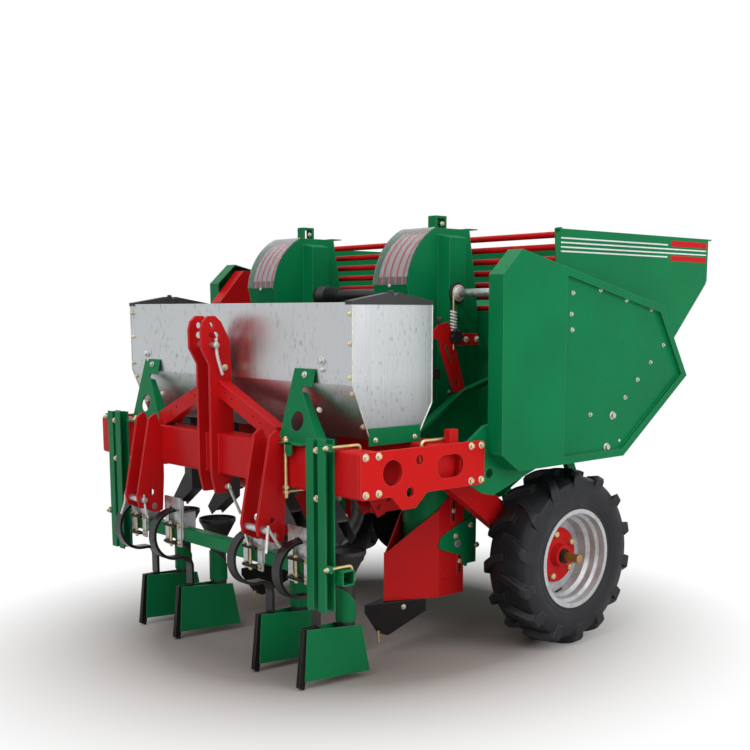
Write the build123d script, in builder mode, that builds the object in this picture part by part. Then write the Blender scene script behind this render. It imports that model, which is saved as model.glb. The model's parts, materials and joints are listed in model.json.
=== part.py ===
"""Two-row potato planter for a tractor's three-point hitch, modelled as separate bolted pieces.

Sizes are millimetres. X runs across the machine (its left side is +X), Y runs backwards from the
front face of the front beam, Z runs up from the ground. Each finished piece is shifted along Y as
it is saved, so that the machine stands on the middle of its own footprint.
"""
import os
from math import asin, atan2, cos, hypot, radians, sin

from build123d import *

# Rows and common stock
ROW_X = 450.0            # each row's distance from the middle of the machine
OPENER_SPREAD = 149.0    # each fertiliser opener's distance from the middle of its row
SHEET = 4.0              # pressed sheet of housings and bin
PLATE = 12.0             # hitch plate
FIT = 0.3                # clearance of pieces that are set into each other
RUNNING_FIT = 0.05       # radial clearance of what turns on a spindle

# Main frame
BEAM_LENGTH = 1854.0
BEAM_BOTTOM = 777.0
BEAM_HEIGHT = 170.0
BEAM_WALL = 8.0
FRONT_BEAM_DEPTH = 100.0
REAR_BEAM_Y = 370.0
REAR_BEAM_DEPTH = 150.0
SIDE_PLATE = 15.0
SIDE_PLATE_LENGTH = 631.0
SIDE_PLATE_BULGE = 53.0  # how far the round lobe hangs below the beams
BEAM_TOP = BEAM_BOTTOM + BEAM_HEIGHT
BEAM_END = BEAM_LENGTH / 2

# Three-point hitch
MAST_GAP = 78.0
MAST_TOP = 1420.0
TOP_HOLE_R = 12.9
TOP_HOLE = (-24.0, 1382.0)
TOP_SLOT = (-12.0, 1343.0)
TOP_SLOT_SIZE = (54.0, 26.0)
TOP_PIN = (-22.0, 1304.0)
TOP_PIN_R = 12.5
MAST_HEAD = [
    (-36, 1225), (-72, 1290), (-73, 1366), (-63, 1398), (-38, MAST_TOP), (-4, MAST_TOP), (24, 1396),
    (64, 1320), (70, 1173),
]
MAST_REAR = 77.0         # rear edge of the cheeks where they stand on the front beam
MAST_FOOT = 698.0        # lower end of the cheeks, under the front beam
MAST_ROUNDING = 10.0
SPREADER = (55.0, 1252.0, 110.0)  # plate between the cheeks: its front, middle height and height
STRUT_DEPTH = 50.0
STRUT_HEAD = (1157.0, 1093.0)     # upper and lower edge at the mast
STRUT_FOOT = (388.0, 434.0)       # inner and outer edge on the front beam
STRUT_END_Z = 1000.0
STRUT_Y = 8.0
STRUT_HOLE_R = 5.0
STRUT_HOLES = [(89, 1111), (138, 1089), (285, 1030), (331, 1008)]
LOWER_HITCH_X = 446.0
LOWER_HITCH_GAP = 88.0
LOWER_HOLE_R = 14.5
LOWER_HOLE = (-62.0, 655.0)
LOWER_SPARE_HOLE = (-50.0, 592.0)
LOWER_PIN = (-108.0, 626.0)
LOWER_PIN_R = 14.0
PIN_OVERHANG = 32.0
HITCH_NOSE = -135.0
LOWER_HITCH_OUTLINE = [
    (0, 719), (0, 920), (-31, 1004), (-68, 977), (HITCH_NOSE, 640), (-128, 600), (-60, 568), (-10, 568)
]
LOWER_HITCH_ROUNDING = 12.0

# Tool bar with its posts and fertiliser openers
POST_X = 745.0
POST_CHANNEL = 42.0
POST_GAP = 26.0
POST_DEPTH = 46.0
POST_WALL = 6.0
POST_BOTTOM = 350.0
POST_TOP = 985.0
TOOL_BAR_HALF = 842.0
TOOL_BAR = 57.0
TOOL_BAR_Z = 450.0
TOOL_BAR_WALL = 5.0
TINE_WIDTH = 45.0
TINE_THICK = 13.0
TINE_LOOP_R = 104.0
TINE_KNEE_R = 48.0
TINE_FRONT = -117.0
TINE_TOP_Z = 583.0
TINE_LOW_Y = 66.0
KNIFE_TOP_Z = 240.0
KNIFE_WIDTH = 20.0
CLAMP_WIDTH = 140.0
CLAMP_TOP_Z = 637.0
CLAMP_PLATE = 8.0
SHIELD = 5.0
TUBE_Y = 215.0
TUBE_R = 36.0
TUBE_WALL = 4.0
TUBE_BOTTOM = 90.0
FUNNEL_BOTTOM = 420.0
FUNNEL_TOP = 520.0
FUNNEL_R = 82.0
SLEEVE_WALL = 4.0
SLEEVE_BOTTOM = 238.0
SLEEVE_TOP = (372.0, 300.0)  # the slanted upper end, at the front and at the back
SHIELD_OUTLINE = [(12, 237), (262, 219), (299, 26), (0, 34)]  # along the plate, and up
KNIFE_FRONT = [(38, 196), (0, 0), (-26, 12)]
KNIFE_HEEL_Z = 214.0

# Fertiliser hopper
HOPPER_HALF = 797.0
HOPPER_FRONT = 87.0
HOPPER_REAR = 485.0
HOPPER_TOP = 1470.0
HOPPER_FRONT_KNEE = 1173.0
HOPPER_REAR_KNEE = 1092.0
HOPPER_FLOOR = (169.0, 414.0)
HOPPER_FLOOR_Z = 970.0
CAP_RISE = 36.0
CAP_LIP = 20.0
CAP_WIDTH = 40.0
BRACKET_X = 562.0
BRACKET_FOOT_Y = 22.0    # rear face of the leaning bracket where it stands on the beam
BRACKET_TOP_Z = 1223.0
BRACKET_PLATE = 6.0
BRACKET_HALF = 122.0
BRACKET_TAB = (-100.0, 24.0, 68.0)   # the tab's inner and outer edge, and its height
BRACKET_NECK = (-28.0, 88.0)         # top of the slanted outer edge, and its depth below the bracket's top
BRACKET_HOLE = (-28.0, 82.0, 38.0)   # across, up the plate, radius
FLANGE_DEPTH = (52.0, 22.0)          # the outer edge's flange, at its foot and at its top
STAY_WIDTH = 80.0
STAY_X = 617.0
STAY_TOP = 1200.0
END_PLATE_RISE = 42.0
SPOUT_SHIFT = 110.0      # spout to opener, towards the middle of the machine
SPOUT = 60.0
SPOUT_BOTTOM = 668.0
CHUTE_DROP = 95.0
CHUTE_THICK = 34.0
SPOUT_WALL = 4.0

# Cup elevators
ELEVATOR_HALF = 103.0
ELEVATOR_TOP = 1775.0
ELEVATOR_REAR = 1000.0
LOWER_FRONT = 693.0      # front of the round seed tube
LOWER_TOP = 1030.0       # where the seed tube meets the sloping front panel
FOOT_Z = 347.0
HOOD_BACK = 740.0
HOOD_FOOT = (580.0, ELEVATOR_TOP - 230.0)
HOOD_MID = (632.0, ELEVATOR_TOP - 88.0)
REAR_KNEES = [(ELEVATOR_REAR, ELEVATOR_TOP - 415.0), (975.0, ELEVATOR_TOP - 230.0), (935.0, ELEVATOR_TOP)]
TOP_SHAFT = (805.0, ELEVATOR_TOP - 263.0)
LOW_SHAFT = (870.0, 447.0)
SHAFT_R = 17.0
CHANNEL_DEPTH = 56.0
CHANNEL_Y = (752.0, 868.0)
CHANNEL_TOP = ELEVATOR_TOP - 27.0
CHANNEL_BOTTOM = 1060.0
CHANNEL_SLOPE = 12.0     # degrees of the channel's sloping edges
TAB = (46.0, 64.0, 58.0)
TAB_Y = 848.0
TAB_WALL = 10.0
FINGER = [(758, 448), (772, 486), (880, 531), (985, 560), (985, 440), (925, 330), (890, 395), (780, 430)]
FINGER_ROUNDING = 8.0
COVER_SHEET = 3.0
BELT_WIDTH = 150.0
BELT_THICK = 6.0
TOP_PULLEY_R = 80.0
LOW_PULLEY_R = 62.0
CUP_COUNT = 20
CUP_R = 26.0
CUP_DEPTH = 38.0
GUARD_R = 25.0
BELL_R = 44.0
LEVER_X = 660.0
LEVER_PLATE = 8.0
LEVER_PIVOT = (795.0, 1324.0)
LEVER_LEAN = -69.0       # degrees that the lower arm's slots are turned
LEVER_SLOTS = [(703, 1269, 78), (756, 1152, 42)]     # middle and length
LEVER_SLOT_WIDTH = 14.0
LEVER_PIVOT_R = 12.0
LEVER_OUTLINE = [
    (617, 1358), (646, 1385), (699, 1395), (730, 1350), (873, 1348), (880, 1303), (742, 1300),
    (800, 1120), (776, 1099), (736, 1116), (661, 1277), (651, 1325), (617, 1332),
]

# Links that carry each row's elevator
LINK_HALF = 44.0
LINK_BAR = 44.0
LINK_PIN_R = 10.0
LINK_PINS = [(-34, 730), (-34, 640)]     # behind the rear beam's back face, and height
LINK_BRACKET = [(8, 690), (-8, 612), (-46, 600), (-100, 690)]
LINK_BRACKET_FRONT = 110.0

# Seed boots
BOW_Y = 562.0
BOOT_FOLD_Y = 765.0
BOOT_REAR_Y = 916.0
BOOT_PLATE = 6.0
BOOT_BOTTOM = 225.0
BOW_TOP = 434.0
BOOT_TOP = 658.0
SHARE_NOSE_Y = 440.0
SHARE_TIP = 85.0
SHARE_HEEL_Y = 540.0
SHARE_NOSE_Z = 205.0

# Potato bin
GUSSET = 12.0
BIN_WALL_OUTER = BEAM_END - GUSSET
BIN_SHEET = 6.0
BIN_TOP = 1769.0
BIN_FRONT = 1056.0
BIN_REAR = 2160.0
BIN_REAR_KNEE = 1578.0
BIN_SHIN = (126.0, 270.0)    # how far the wall's foot stands forward, and its height
BIN_NOSE = (14.0, 169.0)     # how far the wall's nose is set back, and its drop
BIN_FLOOR_Y = 1434.0
BIN_FLOOR_Z = 830.0
BIN_FLANGE = 26.0
FRONT_WALL_TOP = 1440.0
TROUGH_HALF = 640.0
TROUGH_BOTTOM = 640.0
RAIL_R = 13.0
RAIL_COUNT = 7
RAIL_DROP = 24.0         # bin's top edge to the top rail
RAIL_PITCH = 49.0
RAIL_Y = 1086.0

# Side covers over the chain drives, and what carries them
GUSSET_OUTLINE = [
    (540, 790), (540, 938), (640, 1000), (760, 1020), (960, 1020), (960, 806), (700, 722), (640, 735)
]
GUSSET_HOLE = (677, 811, 20)
COVER_DEPTH = 75.0
COVER_OUTER = BEAM_END + COVER_DEPTH
COVER_RIM = 30.0
COVER_RECESS = 16.0
COVER_RECESS_Y = 1035.0
COVER_WALL = 5.0
COVER_OUTLINE = [(657, 1577), (762, 1673), (1694, 1460), (1894, 1152), (1439, 824), (765, 819), (664, 890)]
CHAIN_GUARD = 75.0
CHAIN_GUARD_OUTLINE = [(616, 1482), (762, 1640), (847, 1640), (900, 1500), (741, 1420)]

# Wheels
WHEEL_X = BEAM_END - 107.0
WHEEL_Y = 1246.0
TYRE_R = 384.0
TYRE_HALF = 110.0
TREAD_HALF = 74.0
CARCASS_R = 356.0
BEAD_R = 205.0
LUGS = 18
TYRE_SIDES = 36
LUG = [(-10, 60), (-10, 26), (42, 6), (TYRE_HALF, -42), (TYRE_HALF, -4), (50, 44)]  # across, and round
LUG_ROOT = 34.0          # how deep a lug's root reaches into the carcass
SHOULDER_DROP = 12.0
RIM_FLANGE_R = 219.0
RIM_HALF = 92.0
RIM_WEB = -35.0          # inner face of the rim's web, from the wheel's middle
RIM_SHEET = 8.0
AXLE_R = 18.0
AXLE_END = WHEEL_X + 112.0
HUB_R = 44.0
HUB_PLATE = 14.0
HUB_BOSS = 26.0          # end of the boss, from the wheel's middle
DISC_FACE_R = 122.0
ARM_GAP = 8.0
ARM_OUTER = WHEEL_X - TYRE_HALF - ARM_GAP
ARM_WIDTH = 55.0

# Covering discs
DISC_R = 200.0
DISC_DISH = 30.0
DISC_SHEET = 5.0
DISC_SPREAD = 130.0      # each disc's distance from the middle of its row
DISC_Y = 1638.0
DISC_Z = 311.0
DISC_TOE = 22.0          # degrees that each disc is toed in
SPINDLE_R = 12.0
DISC_HUB_R = 34.0
DISC_HUB_LENGTH = 40.0
DISC_ARM_REACH = 99.0    # disc to the middle of its arm
DISC_ARM_HEIGHT = 46.0
DISC_ARM_WIDTH = 26.0
DISC_BAR = 50.0
DISC_BAR_HALF = 735.0

# Middle of the machine's reach, from the hitch's nose to the bin's rear flange
MIDDLE_Y = (HITCH_NOSE + BIN_REAR + BIN_FLANGE) / 2

OPENERS = [row + shift for row in (-ROW_X, ROW_X) for shift in (-OPENER_SPREAD, OPENER_SPREAD)]


def save(piece, name):
    """Write one node, shifted to stand on the middle of the footprint."""
    placed = piece.moved(Location((0, -MIDDLE_Y, 0)))
    placed.label = name
    export_step(placed, f"parts/{name}.step")


def mirrored(piece):
    """The same piece on the other side of the machine."""
    with BuildPart() as other:
        mirror(piece, about=Plane.YZ)
    return other.part


def save_both(piece, name):
    """Write a piece of the left side and its mirror image as two nodes."""
    save(piece, f"{name}_left")
    save(mirrored(piece), f"{name}_right")


def save_pair(piece, name):
    """Write a piece of the left side and its mirror image as one node of separate solids."""
    save(Compound([*piece.solids(), *mirrored(piece).solids()]), name)


def side_sheet(outline, x_inner, thickness, holes=(), rounding=0):
    """Flat plate in a side plane, from x_inner outwards, with round holes given as (y, z, radius)."""
    with BuildPart() as plate:
        with BuildSketch(Plane.YZ.offset(x_inner)) as face:
            Polygon(*outline, align=None)
            if rounding:
                fillet(face.vertices(), rounding)
            for y, z, radius in holes:
                with Locations((y, z)):
                    Circle(radius, mode=Mode.SUBTRACT)
        extrude(amount=thickness)
    return plate.part


def strip(points, thickness, side):
    """Section of a folded sheet that lies on one side of its line of points."""
    with BuildSketch() as face:
        with BuildLine():
            line = Polyline(*points)
            offset(line, amount=thickness, side=side, kind=Kind.INTERSECTION)
        make_face()
    return face.sketch


def cross_tube(half, y_front, depth, z_bottom, height, wall):
    """Rectangular tube across the machine, open at its ends."""
    with BuildPart() as tube:
        with BuildSketch(Plane.YZ.offset(-half)):
            with Locations((y_front + depth / 2, z_bottom + height / 2)):
                RectangleRounded(depth, height, 1.5 * wall)
                RectangleRounded(depth - 2 * wall, height - 2 * wall, 0.5 * wall, mode=Mode.SUBTRACT)
        extrude(amount=2 * half)
    return tube.part


def cross_pin(x_from, x_to, centre, radius):
    """Round bar along X at a point of the side view."""
    with BuildPart() as pin:
        with BuildSketch(Plane.YZ.offset(x_from)):
            with Locations(centre):
                Circle(radius)
        extrude(amount=x_to - x_from)
    return pin.part


def frame():
    """Front and rear beams between two pierced side plates."""
    save(cross_tube(BEAM_END, 0, FRONT_BEAM_DEPTH, BEAM_BOTTOM, BEAM_HEIGHT, BEAM_WALL), "front_beam")
    rear = cross_tube(BEAM_END, REAR_BEAM_Y, REAR_BEAM_DEPTH, BEAM_BOTTOM, BEAM_HEIGHT, BEAM_WALL)
    save(rear, "rear_beam")
    lobe_y = 232.0
    with BuildPart() as plate:
        with BuildSketch(Plane.YZ.offset(BEAM_END)) as face:
            Polygon(
                (0, BEAM_BOTTOM),
                (lobe_y - 84, BEAM_BOTTOM),
                (lobe_y - 34, BEAM_BOTTOM - SIDE_PLATE_BULGE),
                (lobe_y + 34, BEAM_BOTTOM - SIDE_PLATE_BULGE),
                (lobe_y + 92, BEAM_BOTTOM),
                (SIDE_PLATE_LENGTH, BEAM_BOTTOM),
                (SIDE_PLATE_LENGTH, BEAM_TOP),
                (0, BEAM_TOP),
                align=None,
            )
            fillet(face.vertices(), 14)
            for y, z, radius in ((153, 864, 48), (286, 900, 19), (lobe_y + 7, 785, 19)):
                with Locations((y, z)):
                    Circle(radius, mode=Mode.SUBTRACT)
            with Locations((REAR_BEAM_Y + REAR_BEAM_DEPTH / 2, 863)):
                SlotOverall(142, 88, mode=Mode.SUBTRACT)
        extrude(amount=SIDE_PLATE)
    save_both(plate.part, "side_plate")


def hitch():
    """Mast with its struts, lower hitch brackets and their pins."""
    mast_x = MAST_GAP / 2
    neck_y = MAST_HEAD[0][0]
    outline = [
        *MAST_HEAD,
        (MAST_REAR, BEAM_TOP),
        (0, BEAM_TOP),
        (0, BEAM_BOTTOM),
        (MAST_REAR, BEAM_BOTTOM),
        (-neck_y, MAST_FOOT),
        (neck_y / 2, MAST_FOOT),
        (neck_y, BEAM_BOTTOM),
    ]
    holes = [(*TOP_HOLE, TOP_HOLE_R), (*TOP_PIN, TOP_PIN_R + FIT)]
    with BuildPart() as cheek:
        add(side_sheet(outline, mast_x, PLATE, holes, MAST_ROUNDING))
        with BuildSketch(Plane.YZ.offset(mast_x)):
            with Locations(TOP_SLOT):
                SlotOverall(*TOP_SLOT_SIZE)
        extrude(amount=PLATE, mode=Mode.SUBTRACT)
    spreader_y, spreader_z, spreader_height = SPREADER
    with BuildPart() as mast:
        add(cheek.part)
        mirror(cheek.part, about=Plane.YZ)
        with BuildSketch(Plane.XZ.offset(-spreader_y)):
            with Locations((0, spreader_z)):
                Rectangle(MAST_GAP, spreader_height)
        extrude(amount=-PLATE / 2)
    save(mast.part, "mast")

    head_x = mast_x + PLATE
    with BuildPart() as strut:
        with BuildSketch(Plane.XZ.offset(-STRUT_Y)):
            Polygon(
                (head_x, STRUT_HEAD[0]),
                (head_x, STRUT_HEAD[1]),
                (STRUT_FOOT[0], BEAM_TOP),
                (STRUT_FOOT[1], BEAM_TOP),
                (STRUT_FOOT[1], STRUT_END_Z),
                align=None,
            )
            with Locations(*STRUT_HOLES):
                Circle(STRUT_HOLE_R, mode=Mode.SUBTRACT)
        extrude(amount=-STRUT_DEPTH)
    save_pair(strut.part, "mast_struts")

    holes = [
        (*LOWER_HOLE, LOWER_HOLE_R),
        (*LOWER_PIN, LOWER_PIN_R + FIT),
        (*LOWER_SPARE_HOLE, LOWER_HOLE_R),
    ]
    inner_x = LOWER_HITCH_X - LOWER_HITCH_GAP / 2
    outer_x = LOWER_HITCH_X + LOWER_HITCH_GAP / 2
    plates = [
        side_sheet(LOWER_HITCH_OUTLINE, x, PLATE, holes, LOWER_HITCH_ROUNDING)
        for x in (inner_x - PLATE, outer_x)
    ]
    save_both(Compound(plates), "lower_hitch")

    top_reach = head_x + PIN_OVERHANG
    low_from = inner_x - PLATE - PIN_OVERHANG / 2
    low_to = outer_x + PLATE + PIN_OVERHANG
    lower_pin = cross_pin(low_from, low_to, LOWER_PIN, LOWER_PIN_R)
    pins = [cross_pin(-top_reach, top_reach, TOP_PIN, TOP_PIN_R), lower_pin, mirrored(lower_pin)]
    save(Compound(pins), "hitch_pins")


def posts_and_tool_bar():
    """Twin-channel posts bolted to the front beam, and the tool bar behind their lower ends."""
    save(cross_tube(TOOL_BAR_HALF, 0, TOOL_BAR, TOOL_BAR_Z, TOOL_BAR, TOOL_BAR_WALL), "tool_bar")
    channels = []
    for side in (-1, 1):
        near = POST_X + side * POST_GAP / 2
        far = near + side * POST_CHANNEL
        with BuildPart() as channel:
            with BuildSketch(Plane.XY.offset(POST_BOTTOM)):
                with Locations(((near + far) / 2, -POST_DEPTH / 2)):
                    Rectangle(POST_CHANNEL, POST_DEPTH)
                with Locations(((near + far) / 2 + side * POST_WALL / 2, -POST_DEPTH / 2)):
                    Rectangle(POST_CHANNEL - POST_WALL, POST_DEPTH - 2 * POST_WALL, mode=Mode.SUBTRACT)
            extrude(amount=POST_TOP - POST_BOTTOM)
        channels.append(channel.part)
    save_both(Compound(channels), "post")


def spring_tine(x):
    """Flat spring bar, looped forwards under its clamp and back to the knife."""
    loop_low = TINE_TOP_Z - 2.05 * TINE_LOOP_R
    with BuildPart() as tine:
        with BuildSketch(Plane.YZ.offset(x - TINE_WIDTH / 2)):
            with BuildLine():
                path = FilletPolyline(
                    (TOOL_BAR, TINE_TOP_Z),
                    (TINE_FRONT, TINE_TOP_Z),
                    (TINE_FRONT, loop_low),
                    (TINE_LOW_Y, loop_low),
                    (TINE_LOW_Y, KNIFE_TOP_Z),
                    radius=[TINE_LOOP_R, TINE_LOOP_R, TINE_KNEE_R],
                )
            trace(path, line_width=TINE_THICK)
        extrude(amount=TINE_WIDTH)
    return tine.part


def knife(x):
    """Chisel knife under the tine, its tip on the ground."""
    heel = TINE_LOW_Y + TINE_THICK
    outline = [(0, KNIFE_TOP_Z), (heel, KNIFE_TOP_Z), (heel, KNIFE_HEEL_Z), *KNIFE_FRONT]
    return side_sheet(outline, x - KNIFE_WIDTH / 2, KNIFE_WIDTH)


def clamp(x):
    """Arched clamp that holds the tine's upper end over the tool bar."""
    arch = TINE_WIDTH + 10
    half_thick = TINE_THICK / 2
    with BuildPart() as bracket:
        with BuildSketch(Plane.XZ):
            with Locations((x, (TOOL_BAR_Z + CLAMP_TOP_Z) / 2)):
                RectangleRounded(CLAMP_WIDTH, CLAMP_TOP_Z - TOOL_BAR_Z, 18)
            with Locations((x, TOOL_BAR_Z + (TINE_TOP_Z - TOOL_BAR_Z) / 2)):
                SlotOverall(2 * (TINE_TOP_Z - TOOL_BAR_Z), arch, rotation=90, mode=Mode.SUBTRACT)
        extrude(amount=CLAMP_PLATE)
        with Locations((x, TOOL_BAR / 2, (TOOL_BAR_Z + TOOL_BAR + TINE_TOP_Z - half_thick) / 2)):
            Box(CLAMP_WIDTH, TOOL_BAR, TINE_TOP_Z - half_thick - TOOL_BAR_Z - TOOL_BAR)
    return bracket.part


def shields(x):
    """Two plates that spread backwards from the knife and hold the fertiliser tube between them."""
    start = KNIFE_WIDTH / 2 + FIT / 2
    spread = asin((TUBE_R + FIT) / hypot(start, TUBE_Y)) - atan2(start, TUBE_Y)
    along = (sin(spread), cos(spread), 0)
    plane = Plane(origin=(start, 0, 0), x_dir=along, z_dir=(cos(spread), -sin(spread), 0))
    with BuildPart() as plate:
        with BuildSketch(plane):
            Polygon(*SHIELD_OUTLINE, align=None)
        extrude(amount=SHIELD)
    other = mirrored(plate.part)
    return [piece.moved(Location((x, 0, 0))) for piece in (plate.part, other)]


def fertiliser_tube(x):
    """Drop tube with a funnel mouth."""
    outer = TUBE_R
    inner = TUBE_R - TUBE_WALL
    with BuildPart() as tube:
        with BuildSketch(Plane.XZ):
            Polygon(
                (inner, TUBE_BOTTOM),
                (outer, TUBE_BOTTOM),
                (outer, FUNNEL_BOTTOM),
                (FUNNEL_R, FUNNEL_TOP - 14),
                (FUNNEL_R, FUNNEL_TOP),
                (FUNNEL_R - TUBE_WALL, FUNNEL_TOP),
                (FUNNEL_R - TUBE_WALL, FUNNEL_TOP - 12),
                (inner, FUNNEL_BOTTOM + 2),
                align=None,
            )
        revolve(axis=Axis.Z)
    return tube.part.moved(Location((x, TUBE_Y, 0)))


def tube_sleeve(x):
    """Sleeve round the drop tube above the shields, cut off on a slant."""
    reach = 2 * TUBE_R
    with BuildPart() as sleeve:
        with BuildSketch(Plane.XY.offset(SLEEVE_BOTTOM)):
            with Locations((x, TUBE_Y)):
                Circle(TUBE_R + FIT + SLEEVE_WALL)
                Circle(TUBE_R + FIT, mode=Mode.SUBTRACT)
        extrude(amount=SLEEVE_TOP[0] - SLEEVE_BOTTOM)
        with BuildSketch(Plane.YZ.offset(x - reach)):
            Polygon(
                (TUBE_Y - TUBE_R, SLEEVE_TOP[0]),
                (TUBE_Y + TUBE_R, SLEEVE_TOP[1]),
                (TUBE_Y + reach, SLEEVE_TOP[1]),
                (TUBE_Y + reach, SLEEVE_TOP[0] + reach),
                (TUBE_Y - TUBE_R, SLEEVE_TOP[0] + reach),
                align=None,
            )
        extrude(amount=2 * reach, mode=Mode.SUBTRACT)
    return sleeve.part


def openers():
    """Spring tines with their knives, clamps, shields and fertiliser tubes."""
    save(Compound([spring_tine(x) for x in OPENERS]), "spring_tines")
    save(Compound([knife(x) for x in OPENERS]), "opener_knives")
    save(Compound([clamp(x) for x in OPENERS]), "tine_clamps")
    save(Compound([plate for x in OPENERS for plate in shields(x)]), "opener_shields")
    save(Compound([fertiliser_tube(x) for x in OPENERS]), "fertiliser_tubes")
    save(Compound([tube_sleeve(x) for x in OPENERS]), "tube_sleeves")


def hopper_outline(inset):
    """Section of the fertiliser hopper as a list of points, drawn inwards by a wall."""
    front, rear = HOPPER_FLOOR
    return [
        (HOPPER_FRONT + inset, HOPPER_TOP + inset),
        (HOPPER_FRONT + inset, HOPPER_FRONT_KNEE + inset / 2),
        (front + inset, HOPPER_FLOOR_Z + inset),
        (rear - inset, HOPPER_FLOOR_Z + inset),
        (HOPPER_REAR - inset, HOPPER_REAR_KNEE + inset / 2),
        (HOPPER_REAR - inset, HOPPER_TOP + inset),
    ]


def front_bracket(x):
    """Plate that leans from the front beam back to the hopper, with a tab on top and a flanged outer edge."""
    rise = BRACKET_TOP_Z - BEAM_TOP
    lean = atan2(HOPPER_FRONT - FIT - BRACKET_FOOT_Y, rise)
    height = rise / cos(lean)
    back = Vector(0, cos(lean), -sin(lean))
    face = Plane(origin=(x, BRACKET_FOOT_Y, BEAM_TOP), x_dir=(1, 0, 0), z_dir=-back)
    tab_in, tab_out, tab_height = BRACKET_TAB
    neck_x, neck_drop = BRACKET_NECK
    hole_x, hole_z, hole_r = BRACKET_HOLE
    foot = face.from_local_coords((BRACKET_HALF, 0, 0))
    neck = face.from_local_coords((neck_x, height - neck_drop, 0))
    along = (neck - foot).normalized()
    across = along.cross(back)
    lift = -BRACKET_PLATE * across.Z / along.Z
    with BuildPart() as bracket:
        with BuildSketch(face):
            Polygon(
                (-BRACKET_HALF, 0),
                (BRACKET_HALF, 0),
                (neck_x, height - neck_drop),
                (neck_x, height - tab_height),
                (tab_out, height - tab_height),
                (tab_out, height),
                (tab_in, height),
                align=None,
            )
            with Locations((hole_x, hole_z)):
                Circle(hole_r, mode=Mode.SUBTRACT)
            with Locations((neck_x, height - (tab_height + neck_drop) / 2)):
                Circle((neck_drop - tab_height) / 2, mode=Mode.SUBTRACT)
        extrude(amount=BRACKET_PLATE)
        # the flange's foot is cut level with the top of the beam
        with BuildSketch(Plane(origin=foot, x_dir=along, z_dir=across)):
            Polygon(
                (lift, -BRACKET_PLATE),
                ((neck - foot).length, -BRACKET_PLATE),
                ((neck - foot).length, FLANGE_DEPTH[1]),
                (lift + FLANGE_DEPTH[0] * sin(lean) / along.Z, FLANGE_DEPTH[0]),
                (lift, 0),
                align=None,
            )
        extrude(amount=BRACKET_PLATE)
    return bracket.part


def spout_x(x):
    """Where the spout of an opener leaves the hopper, nearer to the middle of the machine."""
    return x - SPOUT_SHIFT if x > 0 else x + SPOUT_SHIFT


def spout(x):
    """Square duct under the hopper's floor, with a chute that leads outwards to the funnel."""
    top = spout_x(x)
    outward = 1 if x > top else -1
    half = SPOUT / 2
    inner = SPOUT - 2 * SPOUT_WALL
    run = Vector(x - top, -CHUTE_DROP).normalized() * SPOUT

    def chute(extra):
        """Side view of the chute, drawn on past its mouth by a share of its width."""
        low = Vector(x, SPOUT_BOTTOM - CHUTE_THICK - CHUTE_DROP) + run * extra
        high = Vector(x + outward * half, SPOUT_BOTTOM - CHUTE_DROP) + run * extra
        return [
            (top - outward * half, SPOUT_BOTTOM + CHUTE_THICK),
            (top - outward * half, SPOUT_BOTTOM - CHUTE_THICK),
            (low.X, low.Y),
            (high.X, high.Y),
            (top + outward * half, SPOUT_BOTTOM + CHUTE_THICK),
        ]

    with BuildPart() as duct:
        with Locations((top, TUBE_Y, (HOPPER_FLOOR_Z + SPOUT_BOTTOM) / 2)):
            Box(SPOUT, SPOUT, HOPPER_FLOOR_Z - SPOUT_BOTTOM)
        with BuildSketch(Plane.XZ.offset(-TUBE_Y + half)):
            Polygon(*chute(0), align=None)
        extrude(amount=-SPOUT)
        with BuildSketch(Plane.XZ.offset(-TUBE_Y + inner / 2)):
            Polygon(*chute(1), align=None)
            offset(amount=-SPOUT_WALL, kind=Kind.INTERSECTION)
        extrude(amount=-inner, mode=Mode.SUBTRACT)
        with Locations((top, TUBE_Y, (HOPPER_FLOOR_Z + SPOUT_BOTTOM) / 2)):
            Box(inner, inner, HOPPER_FLOOR_Z - SPOUT_BOTTOM, mode=Mode.SUBTRACT)
    return duct.part


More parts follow.
